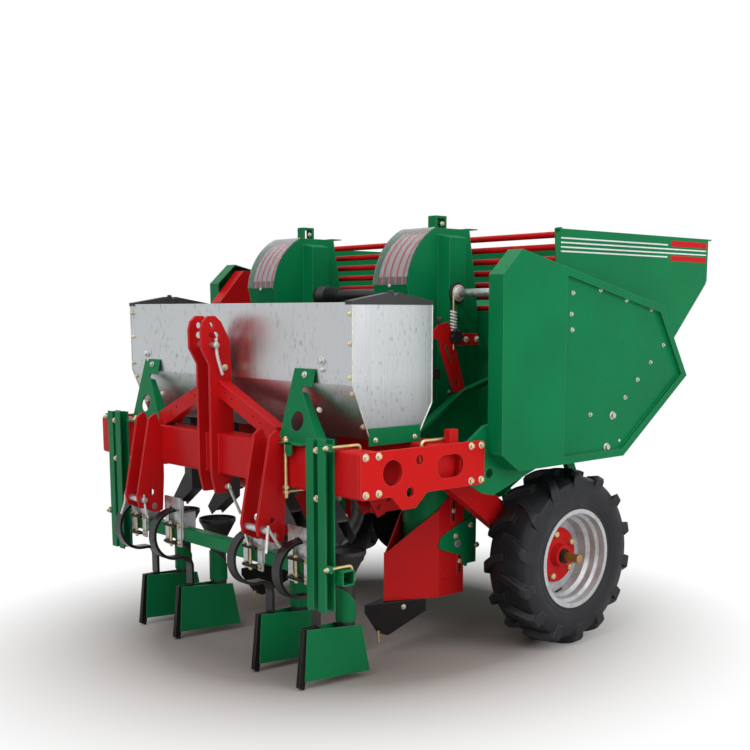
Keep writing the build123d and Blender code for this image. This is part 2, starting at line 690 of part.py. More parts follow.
def hopper():
    """Open fertiliser hopper with gabled end caps, brackets, spouts and chutes."""
    outlet = SPOUT - 2 * SPOUT_WALL
    with BuildPart() as body:
        with BuildSketch(Plane.YZ.offset(-HOPPER_HALF)):
            Polygon(*hopper_outline(0), align=None)
        extrude(amount=2 * HOPPER_HALF)
        with BuildSketch(Plane.YZ.offset(-HOPPER_HALF + SHEET)):
            Polygon(*hopper_outline(SHEET), align=None)
        extrude(amount=2 * (HOPPER_HALF - SHEET), mode=Mode.SUBTRACT)
        with Locations((0, TUBE_Y, HOPPER_FLOOR_Z)):
            Box(2 * (HOPPER_HALF - SHEET), outlet, 4 * SHEET, mode=Mode.SUBTRACT)
    # strips that close the floor's slot between the outlets
    ends = [SHEET - HOPPER_HALF, HOPPER_HALF - SHEET]
    for x in OPENERS:
        ends += [spout_x(x) - outlet / 2, spout_x(x) + outlet / 2]
    ends.sort()
    strips = []
    for start, end in zip(ends[::2], ends[1::2]):
        with BuildPart() as floor_strip:
            with Locations(((start + end) / 2, TUBE_Y, HOPPER_FLOOR_Z + SHEET / 2)):
                Box(end - start, outlet, SHEET)
        strips.append(floor_strip.part)
    save(Compound([body.part, *strips]), "fertiliser_hopper")

    middle = (HOPPER_FRONT + HOPPER_REAR) / 2
    lip = HOPPER_TOP - CAP_LIP
    with BuildPart() as cap:
        with BuildSketch(Plane.YZ.offset(HOPPER_HALF + SHEET - CAP_WIDTH)):
            Polygon(
                (HOPPER_FRONT - SHEET, lip),
                (HOPPER_FRONT - SHEET, HOPPER_TOP + 6),
                (middle - 24, HOPPER_TOP + CAP_RISE),
                (middle, HOPPER_TOP + CAP_RISE - 14),
                (middle + 24, HOPPER_TOP + CAP_RISE),
                (HOPPER_REAR + SHEET, HOPPER_TOP + 6),
                (HOPPER_REAR + SHEET, lip),
                align=None,
            )
        extrude(amount=CAP_WIDTH)
        with BuildSketch(Plane.YZ.offset(HOPPER_HALF - CAP_WIDTH)):
            with Locations((middle, HOPPER_TOP - CAP_LIP)):
                Rectangle(HOPPER_REAR - HOPPER_FRONT + 2 * FIT, 2 * CAP_LIP)
        extrude(amount=CAP_WIDTH + FIT, mode=Mode.SUBTRACT)
    save_pair(cap.part, "hopper_caps")

    save(Compound([front_bracket(x) for x in (-BRACKET_X, BRACKET_X)]), "hopper_front_brackets")
    stay_z = (BEAM_TOP + STAY_TOP) / 2
    with BuildPart() as stay:
        with Locations((STAY_X, HOPPER_REAR + BRACKET_PLATE / 2, stay_z)):
            Box(STAY_WIDTH, BRACKET_PLATE, STAY_TOP - BEAM_TOP)
    save_pair(stay.part, "hopper_rear_stays")

    end_front = HOPPER_FLOOR[0] - BRACKET_PLATE
    end_rear = HOPPER_FLOOR[1] + BRACKET_PLATE
    end_top = HOPPER_FLOOR_Z + END_PLATE_RISE
    end_outline = [(end_front, BEAM_TOP), (end_rear, BEAM_TOP), (end_rear, end_top), (end_front, end_top)]
    save_pair(side_sheet(end_outline, HOPPER_HALF, BRACKET_PLATE), "hopper_end_plates")
    save(Compound([spout(x) for x in OPENERS]), "fertiliser_spouts")


def elevator_outline(inset):
    """Side view of the elevator's upper casing, drawn inwards by a wall."""
    with BuildSketch() as face:
        with BuildLine():
            Polyline(
                (HOOD_FOOT[0], HOOD_FOOT[1]),
                (LOWER_FRONT, LOWER_TOP),
                (ELEVATOR_REAR, LOWER_TOP),
                *REAR_KNEES,
                (HOOD_BACK, ELEVATOR_TOP),
            )
            ThreePointArc((HOOD_BACK, ELEVATOR_TOP), HOOD_MID, HOOD_FOOT)
        make_face()
        if inset:
            offset(amount=-inset, kind=Kind.INTERSECTION)
    return face.sketch


def seed_tube_section(inset):
    """Plan view of the elevator's lower casing: a round front and a square back."""
    half = ELEVATOR_HALF - inset
    centre = LOWER_FRONT + ELEVATOR_HALF
    back = ELEVATOR_REAR - inset
    with BuildSketch() as face:
        with Locations((0, centre)):
            Circle(half)
        with Locations((0, (centre + back) / 2)):
            Rectangle(2 * half, back - centre)
    return face.sketch


def elevator():
    """Hollow casing of one row's cup belt, around X = 0."""
    inner = ELEVATOR_HALF - SHEET
    with BuildPart() as casing:
        with BuildSketch(Plane.YZ.offset(-ELEVATOR_HALF)):
            add(elevator_outline(0))
        extrude(amount=2 * ELEVATOR_HALF)
        with BuildSketch(Plane.XY.offset(FOOT_Z)):
            add(seed_tube_section(0))
        extrude(amount=LOWER_TOP - FOOT_Z)
        for side in (-1, 1):
            with BuildSketch(Plane.YZ.offset(side * ELEVATOR_HALF)):
                Polygon(
                    (CHANNEL_Y[0], CHANNEL_BOTTOM),
                    (CHANNEL_Y[1], CHANNEL_BOTTOM),
                    (CHANNEL_Y[1], CHANNEL_TOP),
                    (CHANNEL_Y[0], CHANNEL_TOP),
                    align=None,
                )
            extrude(amount=side * CHANNEL_DEPTH, taper=CHANNEL_SLOPE)
            # finger plate that laps over the seed boot, on a packing piece behind it
            lap = ELEVATOR_HALF + BOOT_PLATE
            packing = [point for point in FINGER if point[0] > BOOT_REAR_Y]
            for outline, start in ((FINGER, lap), (packing, ELEVATOR_HALF)):
                near = start if side > 0 else -start - BOOT_PLATE
                add(side_sheet(outline, near, BOOT_PLATE, rounding=FINGER_ROUNDING))
        with BuildSketch(Plane.YZ.offset(-inner)):
            add(elevator_outline(SHEET))
        extrude(amount=2 * inner, mode=Mode.SUBTRACT)
        with BuildSketch(Plane.XY.offset(FOOT_Z)):
            add(seed_tube_section(SHEET))
        extrude(amount=LOWER_TOP - FOOT_Z + SHEET, mode=Mode.SUBTRACT)
        # the window under the clear hood
        with BuildSketch(Plane.YZ.offset(-inner)):
            with BuildLine():
                ThreePointArc((HOOD_BACK, ELEVATOR_TOP), HOOD_MID, HOOD_FOOT)
                Polyline(HOOD_FOOT, (HOOD_BACK, HOOD_FOOT[1]), (HOOD_BACK, ELEVATOR_TOP))
            make_face()
        extrude(amount=2 * inner, mode=Mode.SUBTRACT)
        # the mouth where the cups pass through the heap of potatoes
        with Locations((0, ELEVATOR_REAR, (TROUGH_BOTTOM + BIN_FLOOR_Z) / 2 + SHEET)):
            Box(2 * inner, 4 * SHEET, BIN_FLOOR_Z - TROUGH_BOTTOM - 2 * SHEET, mode=Mode.SUBTRACT)
        # bores of the upper shaft
        with BuildSketch(Plane.YZ.offset(-ELEVATOR_HALF - CHANNEL_DEPTH)):
            with Locations(TOP_SHAFT, LOW_SHAFT):
                Circle(SHAFT_R + FIT)
        extrude(amount=2 * (ELEVATOR_HALF + CHANNEL_DEPTH), mode=Mode.SUBTRACT)
        # lifting tab on the roof
        with Locations((0, TAB_Y, ELEVATOR_TOP + TAB[2] / 2)):
            Box(*TAB)
        with Locations((0, TAB_Y, ELEVATOR_TOP + TAB[2] / 2 - TAB_WALL)):
            Box(TAB[0], TAB[1] - 2 * TAB_WALL, TAB[2], mode=Mode.SUBTRACT)
    return casing.part


def hood():
    """Clear curved cover over the elevator's window."""
    with BuildPart() as sheet:
        with BuildSketch(Plane.YZ.offset(-ELEVATOR_HALF)):
            with BuildLine():
                arc = ThreePointArc((HOOD_BACK, ELEVATOR_TOP), HOOD_MID, HOOD_FOOT)
                offset(arc, amount=COVER_SHEET, side=Side.RIGHT)
            make_face()
        extrude(amount=2 * ELEVATOR_HALF)
    return sheet.part


def belt_loop(extra):
    """Side view of the belt's outer line round its two pulleys, grown by a thickness."""
    span = hypot(TOP_SHAFT[0] - LOW_SHAFT[0], TOP_SHAFT[1] - LOW_SHAFT[1])
    along = atan2(TOP_SHAFT[1] - LOW_SHAFT[1], TOP_SHAFT[0] - LOW_SHAFT[0])
    lean = asin((LOW_PULLEY_R - TOP_PULLEY_R) / span)
    points = []
    for side in (1, -1):
        normal = along + side * (radians(90) - lean)
        for centre, radius in ((LOW_SHAFT, LOW_PULLEY_R), (TOP_SHAFT, TOP_PULLEY_R)):
            reach = radius + extra
            points.append((centre[0] + reach * cos(normal), centre[1] + reach * sin(normal)))
    low_reach = LOW_PULLEY_R + extra
    top_reach = TOP_PULLEY_R + extra
    low_end = (LOW_SHAFT[0] - low_reach * cos(along), LOW_SHAFT[1] - low_reach * sin(along))
    top_end = (TOP_SHAFT[0] + top_reach * cos(along), TOP_SHAFT[1] + top_reach * sin(along))
    with BuildSketch() as face:
        with BuildLine():
            Line(points[0], points[1])
            ThreePointArc(points[1], top_end, points[3])
            Line(points[3], points[2])
            ThreePointArc(points[2], low_end, points[0])
        make_face()
    return face.sketch


def cup_belt():
    """Belt loop with its cups and both pulleys, around X = 0."""
    half = BELT_WIDTH / 2
    outer = belt_loop(BELT_THICK)
    rim = outer.wire()
    with BuildPart() as cup:
        with BuildSketch(Plane.XY):
            RegularPolygon(CUP_R, 6)
        extrude(amount=CUP_DEPTH, taper=8)
        with BuildSketch(Plane.XY):
            RegularPolygon(CUP_R - 5, 6)
        extrude(amount=CUP_DEPTH - 8, taper=8, mode=Mode.SUBTRACT)
    reach = CUP_R * cos(radians(30)) - BELT_THICK / 2
    cups = []
    for index in range(CUP_COUNT):
        share = index / CUP_COUNT
        point = rim @ share
        tangent = rim % share
        spot = Plane(
            origin=(0, point.X - tangent.Y * reach, point.Y + tangent.X * reach),
            x_dir=(1, 0, 0),
            z_dir=(0, tangent.X, tangent.Y),
        )
        cups.append(cup.part.moved(Location(spot)))
    with BuildPart() as belt:
        with BuildSketch(Plane.YZ.offset(-half)):
            add(outer)
            add(belt_loop(0), mode=Mode.SUBTRACT)
        extrude(amount=BELT_WIDTH)
        add(cups)
    return belt.part


def pulley_shafts():
    """Drive shaft across both elevators and the short lower shafts, with their pulleys."""
    half = BELT_WIDTH / 2 - 10
    with BuildPart() as drive:
        far_end = -ROW_X - ELEVATOR_HALF - CHANNEL_DEPTH
        add(cross_pin(far_end, COVER_OUTER - 2 * COVER_WALL, TOP_SHAFT, SHAFT_R))
        for x in (-ROW_X, ROW_X):
            add(cross_pin(x - half, x + half, TOP_SHAFT, TOP_PULLEY_R - FIT))
    save(drive.part, "drive_shaft")
    with BuildPart() as low:
        reach = ELEVATOR_HALF + 3 * BOOT_PLATE
        add(cross_pin(ROW_X - reach, ROW_X + reach, LOW_SHAFT, SHAFT_R))
        add(cross_pin(ROW_X - half, ROW_X + half, LOW_SHAFT, LOW_PULLEY_R - FIT))
    save_pair(low.part, "lower_shafts")

    inner_face = ROW_X - ELEVATOR_HALF - CHANNEL_DEPTH
    with BuildPart() as guard:
        with BuildSketch(Plane.YZ.offset(-inner_face + 60)):
            with Locations(TOP_SHAFT):
                Circle(GUARD_R)
        extrude(amount=2 * (inner_face - 60))
        for side in (-1, 1):
            with BuildSketch(Plane.YZ.offset(side * (inner_face - 60))):
                with Locations(TOP_SHAFT):
                    Circle(GUARD_R)
            with BuildSketch(Plane.YZ.offset(side * (inner_face - 20))):
                with Locations(TOP_SHAFT):
                    Circle(BELL_R)
            loft()
            with BuildSketch(Plane.YZ.offset(side * (inner_face - 20))):
                with Locations(TOP_SHAFT):
                    Circle(BELL_R)
            extrude(amount=side * 14)
        with BuildSketch(Plane.YZ.offset(-inner_face)):
            with Locations(TOP_SHAFT):
                Circle(SHAFT_R + FIT)
        extrude(amount=2 * inner_face, mode=Mode.SUBTRACT)
    save(guard.part, "shaft_guard")


def agitator_lever():
    """Bent lever on a pivot at the elevator's side channel."""
    with BuildPart() as lever:
        add(side_sheet(LEVER_OUTLINE, LEVER_X, LEVER_PLATE))
        with BuildSketch(Plane.YZ.offset(LEVER_X)):
            for y, z, slot in LEVER_SLOTS:
                with Locations((y, z)):
                    SlotOverall(slot, LEVER_SLOT_WIDTH, rotation=LEVER_LEAN)
        extrude(amount=LEVER_PLATE, mode=Mode.SUBTRACT)
        channel_face = ROW_X + ELEVATOR_HALF + CHANNEL_DEPTH
        add(cross_pin(channel_face, LEVER_X + 2 * LEVER_PLATE, LEVER_PIVOT, LEVER_PIVOT_R))
    return lever.part


def boot():
    """Folded seed boot: two plates that meet in a bow ahead of the seed tube, around X = 0."""
    inner = ELEVATOR_HALF
    points = [
        (-inner, BOOT_REAR_Y),
        (-inner, BOOT_FOLD_Y),
        (0, BOW_Y),
        (inner, BOOT_FOLD_Y),
        (inner, BOOT_REAR_Y),
    ]
    cut = 2 * inner
    with BuildPart() as shell:
        with BuildSketch(Plane.XY.offset(BOOT_BOTTOM)):
            add(strip(points, BOOT_PLATE, Side.RIGHT))
        extrude(amount=BOOT_TOP - BOOT_BOTTOM)
        with BuildSketch(Plane.YZ.offset(-cut)):
            Polygon(
                (BOW_Y - cut, BOW_TOP),
                (BOW_Y, BOW_TOP),
                (825, BOOT_TOP),
                (825, BOOT_TOP + cut),
                (BOW_Y - cut, BOOT_TOP + cut),
                align=None,
            )
            with Locations(LOW_SHAFT):
                Circle(SHAFT_R + FIT)
        extrude(amount=2 * cut, mode=Mode.SUBTRACT)
    return shell.part


def share():
    """Black share that wraps the bow below the boot and reaches forward to a nose."""
    outer = ELEVATOR_HALF + BOOT_PLATE
    with BuildPart() as body:
        with BuildSketch(Plane.XY.offset(SHARE_TIP)):
            with BuildLine():
                Polyline(
                    (0, SHARE_NOSE_Y),
                    (outer * 0.78, BOOT_FOLD_Y - 50),
                    (outer * 0.78 - 12, BOOT_FOLD_Y - 40),
                    (0, BOW_Y + 20),
                    (12 - outer * 0.78, BOOT_FOLD_Y - 40),
                    (-outer * 0.78, BOOT_FOLD_Y - 50),
                    close=True,
                )
            make_face()
        extrude(amount=BOOT_BOTTOM - SHARE_TIP)
        with BuildSketch(Plane.YZ.offset(-2 * outer)):
            ahead = SHARE_NOSE_Y - 10
            below = SHARE_TIP - 5
            behind = BOOT_FOLD_Y + 35
            Polygon((ahead, below), (ahead, SHARE_NOSE_Z), (SHARE_HEEL_Y, below), align=None)
            Polygon((SHARE_HEEL_Y, below), (behind, below), (behind, BOOT_BOTTOM - 10), align=None)
        extrude(amount=4 * outer, mode=Mode.SUBTRACT)
    return body.part


def row_links():
    """Bracket plates under the rear beam and the link bars that carry the elevator, around X = 0."""
    rear = REAR_BEAM_Y + REAR_BEAM_DEPTH
    outline = [
        (rear - LINK_BRACKET_FRONT, BEAM_BOTTOM),
        (rear, BEAM_BOTTOM),
        *[(rear + back, height) for back, height in LINK_BRACKET],
    ]
    pins = [(rear + back, height) for back, height in LINK_PINS]
    pin_reach = LINK_HALF + 2 * BRACKET_PLATE
    holes = [(*pin, LINK_PIN_R + FIT) for pin in pins]
    plates = []
    bars = []
    for side in (-1, 1):
        near = side * LINK_HALF - BRACKET_PLATE / 2
        plates.append(side_sheet(outline, near, BRACKET_PLATE, holes))
    for pin_y, pin_z in pins:
        with BuildPart() as bar:
            with BuildSketch(Plane.YZ.offset(-LINK_HALF + BRACKET_PLATE)):
                with Locations(((pin_y + LOWER_FRONT) / 2, pin_z)):
                    SlotOverall(LOWER_FRONT - pin_y + 2 * LINK_BAR, LINK_BAR)
            extrude(amount=2 * (LINK_HALF - BRACKET_PLATE))
            with Locations((0, LOWER_FRONT + ELEVATOR_HALF, pin_z)):
                Cylinder(ELEVATOR_HALF, 2 * LINK_BAR, mode=Mode.SUBTRACT)
            add(cross_pin(-pin_reach, pin_reach, (pin_y, pin_z), LINK_PIN_R))
        bars.append(bar.part)
    return Compound(plates), Compound(bars)


def rows():
    """Cup elevators, belts, shafts, levers, boots, shares and links of both rows."""
    at_row = Location((ROW_X, 0, 0))
    save_both(elevator().moved(at_row), "elevator")
    save_pair(hood().moved(at_row), "elevator_hoods")
    save_both(cup_belt().moved(at_row), "cup_belt")
    pulley_shafts()
    save_pair(agitator_lever(), "agitator_levers")
    save_both(boot().moved(at_row), "seed_boot")
    save_pair(share().moved(at_row), "boot_shares")
    plates, bars = row_links()
    save_pair(plates.moved(at_row), "row_brackets")
    save_pair(bars.moved(at_row), "row_links")


def potato_bin():
    """Bin between two side walls: sloping rear floor, front wall, feed trough and fence rails."""
    wall = [
        (BIN_FRONT, BIN_TOP),
        (BIN_REAR, BIN_TOP),
        (BIN_REAR, BIN_REAR_KNEE),
        (BIN_FLOOR_Y, BIN_FLOOR_Z),
        (BIN_FRONT - BIN_SHIN[0], BIN_FLOOR_Z),
        (BIN_FRONT - BIN_SHIN[0], BIN_FLOOR_Z + BIN_SHIN[1]),
        (BIN_FRONT + BIN_NOSE[0], BIN_TOP - BIN_NOSE[1]),
    ]
    inner = BIN_WALL_OUTER - BIN_SHEET
    save_both(side_sheet(wall, inner, BIN_SHEET), "bin_side")

    front = ELEVATOR_REAR
    points = [
        (BIN_REAR, BIN_TOP),
        (BIN_REAR, BIN_REAR_KNEE),
        (BIN_FLOOR_Y, BIN_FLOOR_Z),
        (front, BIN_FLOOR_Z),
        (front, FRONT_WALL_TOP),
    ]
    with BuildPart() as floor:
        with BuildSketch(Plane.YZ.offset(-inner)):
            add(strip(points, BIN_SHEET, Side.RIGHT))
        extrude(amount=2 * inner)
        throat = BIN_FLOOR_Y - front - 4 * BIN_SHEET
        with Locations((0, (BIN_FLOOR_Y + front) / 2, BIN_FLOOR_Z)):
            Box(2 * (TROUGH_HALF - 2 * BIN_SHEET), throat, 4 * BIN_SHEET, mode=Mode.SUBTRACT)
        with Locations((0, BIN_REAR + BIN_FLANGE / 2, BIN_TOP - BIN_SHEET / 2)):
            Box(2 * BIN_WALL_OUTER, BIN_FLANGE, BIN_SHEET)
    save(floor.part, "bin_floor")

    with BuildPart() as trough:
        with BuildSketch(Plane.YZ.offset(-TROUGH_HALF)):
            Polygon(
                (front, BIN_FLOOR_Z),
                (BIN_FLOOR_Y, BIN_FLOOR_Z),
                (front + 60, TROUGH_BOTTOM),
                (front, TROUGH_BOTTOM),
                align=None,
            )
        extrude(amount=2 * TROUGH_HALF)
        with BuildSketch(Plane.YZ.offset(-TROUGH_HALF + BIN_SHEET)):
            Polygon(
                (front + BIN_SHEET, BIN_FLOOR_Z + 1),
                (BIN_FLOOR_Y - 3 * BIN_SHEET, BIN_FLOOR_Z + 1),
                (front + 58, TROUGH_BOTTOM + BIN_SHEET),
                (front + BIN_SHEET, TROUGH_BOTTOM + BIN_SHEET),
                align=None,
            )
        extrude(amount=2 * (TROUGH_HALF - BIN_SHEET), mode=Mode.SUBTRACT)
        mouth_z = (TROUGH_BOTTOM + BIN_FLOOR_Z) / 2
        mouth_height = BIN_FLOOR_Z - TROUGH_BOTTOM - 4 * BIN_SHEET
        with Locations((-ROW_X, front, mouth_z), (ROW_X, front, mouth_z)):
            Box(2 * (ELEVATOR_HALF - SHEET), 4 * BIN_SHEET, mouth_height, mode=Mode.SUBTRACT)
    save(trough.part, "feed_trough")

    heights = [BIN_TOP - RAIL_DROP - RAIL_PITCH * index for index in range(RAIL_COUNT)]
    save(Compound([cross_pin(-inner, inner, (RAIL_Y, z), RAIL_R) for z in heights]), "fence_rails")


def side_covers():
    """Chain covers, the gussets that carry them and the guard inside the right cover."""
    gusset_x = BEAM_END - GUSSET
    save_pair(side_sheet(GUSSET_OUTLINE, gusset_x, GUSSET, [GUSSET_HOLE]), "gussets")
    span = 2 * BIN_REAR
    with BuildPart() as cover:
        with BuildSketch(Plane.YZ.offset(BEAM_END)):
            Polygon(*COVER_OUTLINE, align=None)
        extrude(amount=COVER_DEPTH)
        # the recess behind the seam, the hollow under it, and the deeper hollow ahead of the seam
        for keep, seam_y, inset, plane_x, amount in (
            (1, COVER_RECESS_Y, COVER_RIM, COVER_OUTER, -COVER_RECESS),
            (1, COVER_RECESS_Y, COVER_WALL, BEAM_END, COVER_DEPTH - COVER_RECESS - COVER_WALL),
            (-1, COVER_RECESS_Y - COVER_WALL, COVER_WALL, BEAM_END, COVER_DEPTH - COVER_WALL),
        ):
            with BuildSketch(Plane.YZ.offset(plane_x)):
                Polygon(*COVER_OUTLINE, align=None)
                offset(amount=-inset, kind=Kind.INTERSECTION)
                with Locations((seam_y - keep * span / 2, 0)):
                    Rectangle(span, 2 * span, mode=Mode.SUBTRACT)
            extrude(amount=amount, mode=Mode.SUBTRACT)
    save_both(cover.part, "side_cover")
    save(side_sheet(CHAIN_GUARD_OUTLINE, -BEAM_END, CHAIN_GUARD), "chain_guard")


def tyre():
    """Lugged tyre round the X axis: a carcass of flat facets with bent lugs on either half."""
    half_profile = [
        (RIM_HALF - 6, BEAD_R),
        (RIM_HALF - 2, BEAD_R + 27),
        (TYRE_HALF - 4, BEAD_R + 81),
        (TYRE_HALF - 8, CARCASS_R - 24),
        (TREAD_HALF, CARCASS_R - 4),
    ]
    profile = [(-x, radius) for x, radius in half_profile] + half_profile[::-1]
    root = CARCASS_R - LUG_ROOT
    top = (TYRE_R**2 - LUG[0][1] ** 2) ** 0.5
    with BuildPart() as lug:
        with BuildSketch(Plane.XY.offset(root)):
            Polygon(*LUG, align=None)
        extrude(amount=top - root)
        with BuildSketch(Plane.XZ):
            Polygon(
                (-TYRE_HALF, root),
                (-TYRE_HALF, top - SHOULDER_DROP),
                (-TYRE_HALF / 2, top),
                (TYRE_HALF / 2, top),
                (TYRE_HALF, top - SHOULDER_DROP),
                (TYRE_HALF, root),
                align=None,
            )
        extrude(amount=TYRE_HALF, both=True, mode=Mode.INTERSECT)
    with BuildPart() as body:
        for x, radius in profile:
            with BuildSketch(Plane.YZ.offset(x)):
                RegularPolygon(radius, TYRE_SIDES)
        loft(ruled=True)
        pitch = 360 / LUGS
        ring = [lug.part.rotate(Axis.X, pitch * index) for index in range(LUGS)]
        other = mirrored(lug.part)
        ring += [other.rotate(Axis.X, pitch * (index + 0.5)) for index in range(LUGS)]
        add(ring)
        with BuildSketch(Plane.YZ.offset(-TYRE_HALF)):
            Circle(BEAD_R)
        extrude(amount=2 * TYRE_HALF, mode=Mode.SUBTRACT)
    return body.part


def rim():
    """Drop-centre rim with its stepped outer face, round the X axis."""
    with BuildPart() as body:
        with BuildSketch(Plane.XZ):
            Polygon(
                (-RIM_HALF - 4, RIM_FLANGE_R),
                (-RIM_HALF - 4, BEAD_R - 8),
                (28 - RIM_HALF, BEAD_R - 8),
                (38 - RIM_HALF, BEAD_R - 32),
                (RIM_WEB, BEAD_R - 36),
                (RIM_WEB, DISC_FACE_R - 20),
                (RIM_WEB + RIM_SHEET, DISC_FACE_R - 20),
                (RIM_WEB + RIM_SHEET, BEAD_R - 44),
                (RIM_HALF - 76, BEAD_R - 40),
                (RIM_HALF - 64, BEAD_R - 24),
                (RIM_HALF - 36, BEAD_R - 22),
                (RIM_HALF - 28, BEAD_R - 8),
                (RIM_HALF + 4, BEAD_R - 8),
                (RIM_HALF + 4, RIM_FLANGE_R),
                (RIM_HALF - 2, RIM_FLANGE_R),
                (RIM_HALF - 5, BEAD_R - FIT),
                (-RIM_HALF + 5, BEAD_R - FIT),
                (-RIM_HALF + 2, RIM_FLANGE_R),
                align=None,
            )
        revolve(axis=Axis.X)
    return body.part


def hub():
    """Hub disc bolted to the rim's face, with its boss bored for the axle."""
    bore = AXLE_R + RUNNING_FIT
    rear = RIM_WEB + RIM_SHEET
    face = rear + HUB_PLATE
    with BuildPart() as body:
        with BuildSketch(Plane.XZ):
            Polygon(
                (ARM_GAP - TYRE_HALF, bore),
                (ARM_GAP - TYRE_HALF, HUB_R),
                (rear, HUB_R),
                (rear, DISC_FACE_R),
                (face, DISC_FACE_R),
                (face + 6, HUB_R + 10),
                (HUB_BOSS, HUB_R),
                (HUB_BOSS, bore),
                align=None,
            )
        revolve(axis=Axis.X)
    return body.part


def wheels():
    """Ground wheels on arms behind the rear beam."""
    spot = Location((WHEEL_X, WHEEL_Y, TYRE_R))
    save_both(tyre().moved(spot), "tyre")
    save_both(rim().moved(spot), "rim")
    save_both(hub().moved(spot), "hub")
    rear = REAR_BEAM_Y + REAR_BEAM_DEPTH
    arm = [
        (rear, BEAM_BOTTOM + 8),
        (rear, BEAM_TOP - 8),
        (rear + 120, BEAM_TOP - 50),
        (WHEEL_Y + 46, TYRE_R + 46),
        (WHEEL_Y + 46, TYRE_R - 46),
        (WHEEL_Y - 20, TYRE_R - 46),
        (rear + 70, BEAM_BOTTOM + 8),
    ]
    with BuildPart() as carrier:
        add(side_sheet(arm, ARM_OUTER - ARM_WIDTH, ARM_WIDTH))
        add(cross_pin(ARM_OUTER, AXLE_END, (WHEEL_Y, TYRE_R), AXLE_R))
    save_both(carrier.part, "wheel_arm")


def covering_disc():
    """Dished disc with its bored hub, its rim in the XY plane and its hub towards +Z."""
    bore = SPINDLE_R + RUNNING_FIT
    belly_r = 0.55 * DISC_R
    belly = 0.7 * DISC_DISH
    with BuildPart() as dish:
        with BuildSketch(Plane.XZ):
            Polygon(
                (bore, DISC_DISH),
                (belly_r, belly),
                (DISC_R, 0),
                (DISC_R, DISC_SHEET),
                (belly_r, belly + DISC_SHEET),
                (DISC_HUB_R, DISC_DISH + DISC_SHEET),
                (DISC_HUB_R, DISC_DISH + DISC_HUB_LENGTH),
                (bore, DISC_DISH + DISC_HUB_LENGTH),
                align=None,
            )
        revolve(axis=Axis.Z)
    return dish.part


def covering_discs():
    """Toed-in discs behind each row, on arms from a bar under the bin's floor."""
    toe = radians(DISC_TOE)
    bar_z = BIN_FLOOR_Z - DISC_BAR
    slope = (BIN_REAR_KNEE - BIN_FLOOR_Z) / (BIN_REAR - BIN_FLOOR_Y)
    wedge_rear = BIN_FLOOR_Y + DISC_BAR
    wedge = [
        (BIN_FLOOR_Y, BIN_FLOOR_Z),
        (wedge_rear, BIN_FLOOR_Z),
        (wedge_rear, BIN_FLOOR_Z + slope * DISC_BAR),
    ]
    low_y = DISC_Y + DISC_ARM_REACH * sin(toe) / cos(toe)
    half = DISC_ARM_HEIGHT / 2
    arm = [
        (BIN_FLOOR_Y, bar_z),
        (wedge_rear, bar_z),
        (low_y + half, DISC_Z + half),
        (low_y + half, DISC_Z - half),
        (low_y - half, DISC_Z - half),
    ]
    dish = covering_disc()
    number = 0
    with BuildPart() as carrier:
        add(cross_tube(DISC_BAR_HALF, BIN_FLOOR_Y, DISC_BAR, bar_z, DISC_BAR, BIN_SHEET))
        for row in (-1, 1):
            add(side_sheet(wedge, row * ROW_X - DISC_ARM_WIDTH / 2, DISC_ARM_WIDTH))
            for side in (-1, 1):
                number += 1
                centre_x = row * ROW_X + side * DISC_SPREAD
                spot = Plane(
                    origin=(centre_x, DISC_Y, DISC_Z),
                    x_dir=(0, 0, 1),
                    z_dir=(side * cos(toe), sin(toe), 0),
                )
                save(dish.moved(Location(spot)), f"covering_disc_{number}")
                arm_x = centre_x + side * DISC_ARM_REACH - DISC_ARM_WIDTH / 2
                add(side_sheet(arm, arm_x, DISC_ARM_WIDTH))
                with BuildSketch(spot.offset(DISC_DISH)):
                    Circle(SPINDLE_R)
                extrude(amount=DISC_ARM_REACH / cos(toe) - DISC_DISH)
    save(carrier.part, "disc_carrier")


os.makedirs("parts", exist_ok=True)
frame()
hitch()
posts_and_tool_bar()
openers()
hopper()
rows()
potato_bin()
side_covers()
wheels()
covering_discs()
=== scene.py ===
"""Finishes, fittings and stage of a two-row potato planter, laid out as an add-on."""

import json
import math

import bmesh
import bpy
from mathutils import Matrix, Vector


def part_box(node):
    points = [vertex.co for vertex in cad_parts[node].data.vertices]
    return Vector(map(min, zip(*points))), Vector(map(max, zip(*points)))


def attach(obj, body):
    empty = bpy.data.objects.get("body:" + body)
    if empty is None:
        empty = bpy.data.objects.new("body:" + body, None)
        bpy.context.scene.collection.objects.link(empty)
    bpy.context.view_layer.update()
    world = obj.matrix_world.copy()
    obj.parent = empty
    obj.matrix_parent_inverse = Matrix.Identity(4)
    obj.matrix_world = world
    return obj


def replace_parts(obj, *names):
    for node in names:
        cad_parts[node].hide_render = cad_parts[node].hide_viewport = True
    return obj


bl_info = {
    "name": "Potato planter dress",
    "version": (1, 0, 0),
    "blender": (4, 5, 0),
    "location": "View3D > Sidebar > Planter",
    "description": "Dresses the planter's frame with finishes, fittings and a plain stage",
    "category": "Object",
}

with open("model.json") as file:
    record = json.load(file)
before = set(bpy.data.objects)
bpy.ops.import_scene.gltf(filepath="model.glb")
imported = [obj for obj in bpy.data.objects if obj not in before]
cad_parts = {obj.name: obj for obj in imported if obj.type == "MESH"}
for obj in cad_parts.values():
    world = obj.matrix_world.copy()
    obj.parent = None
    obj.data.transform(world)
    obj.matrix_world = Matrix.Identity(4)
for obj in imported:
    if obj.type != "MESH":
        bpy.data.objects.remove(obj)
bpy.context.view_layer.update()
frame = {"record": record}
BEAM_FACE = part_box("front_beam")[0].y
PLATE_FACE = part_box("side_plate_left")[1].x
COVER_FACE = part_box("side_cover_left")[1].x
BIN_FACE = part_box("bin_side_left")[1].x
SIDES = (1, -1)
ROWS = (0.45, -0.45)
OPENERS = (0.599, 0.301, -0.301, -0.599)
RIGHT, BACK, UP = Vector((1, 0, 0)), Vector((0, 1, 0)), Vector((0, 0, 1))


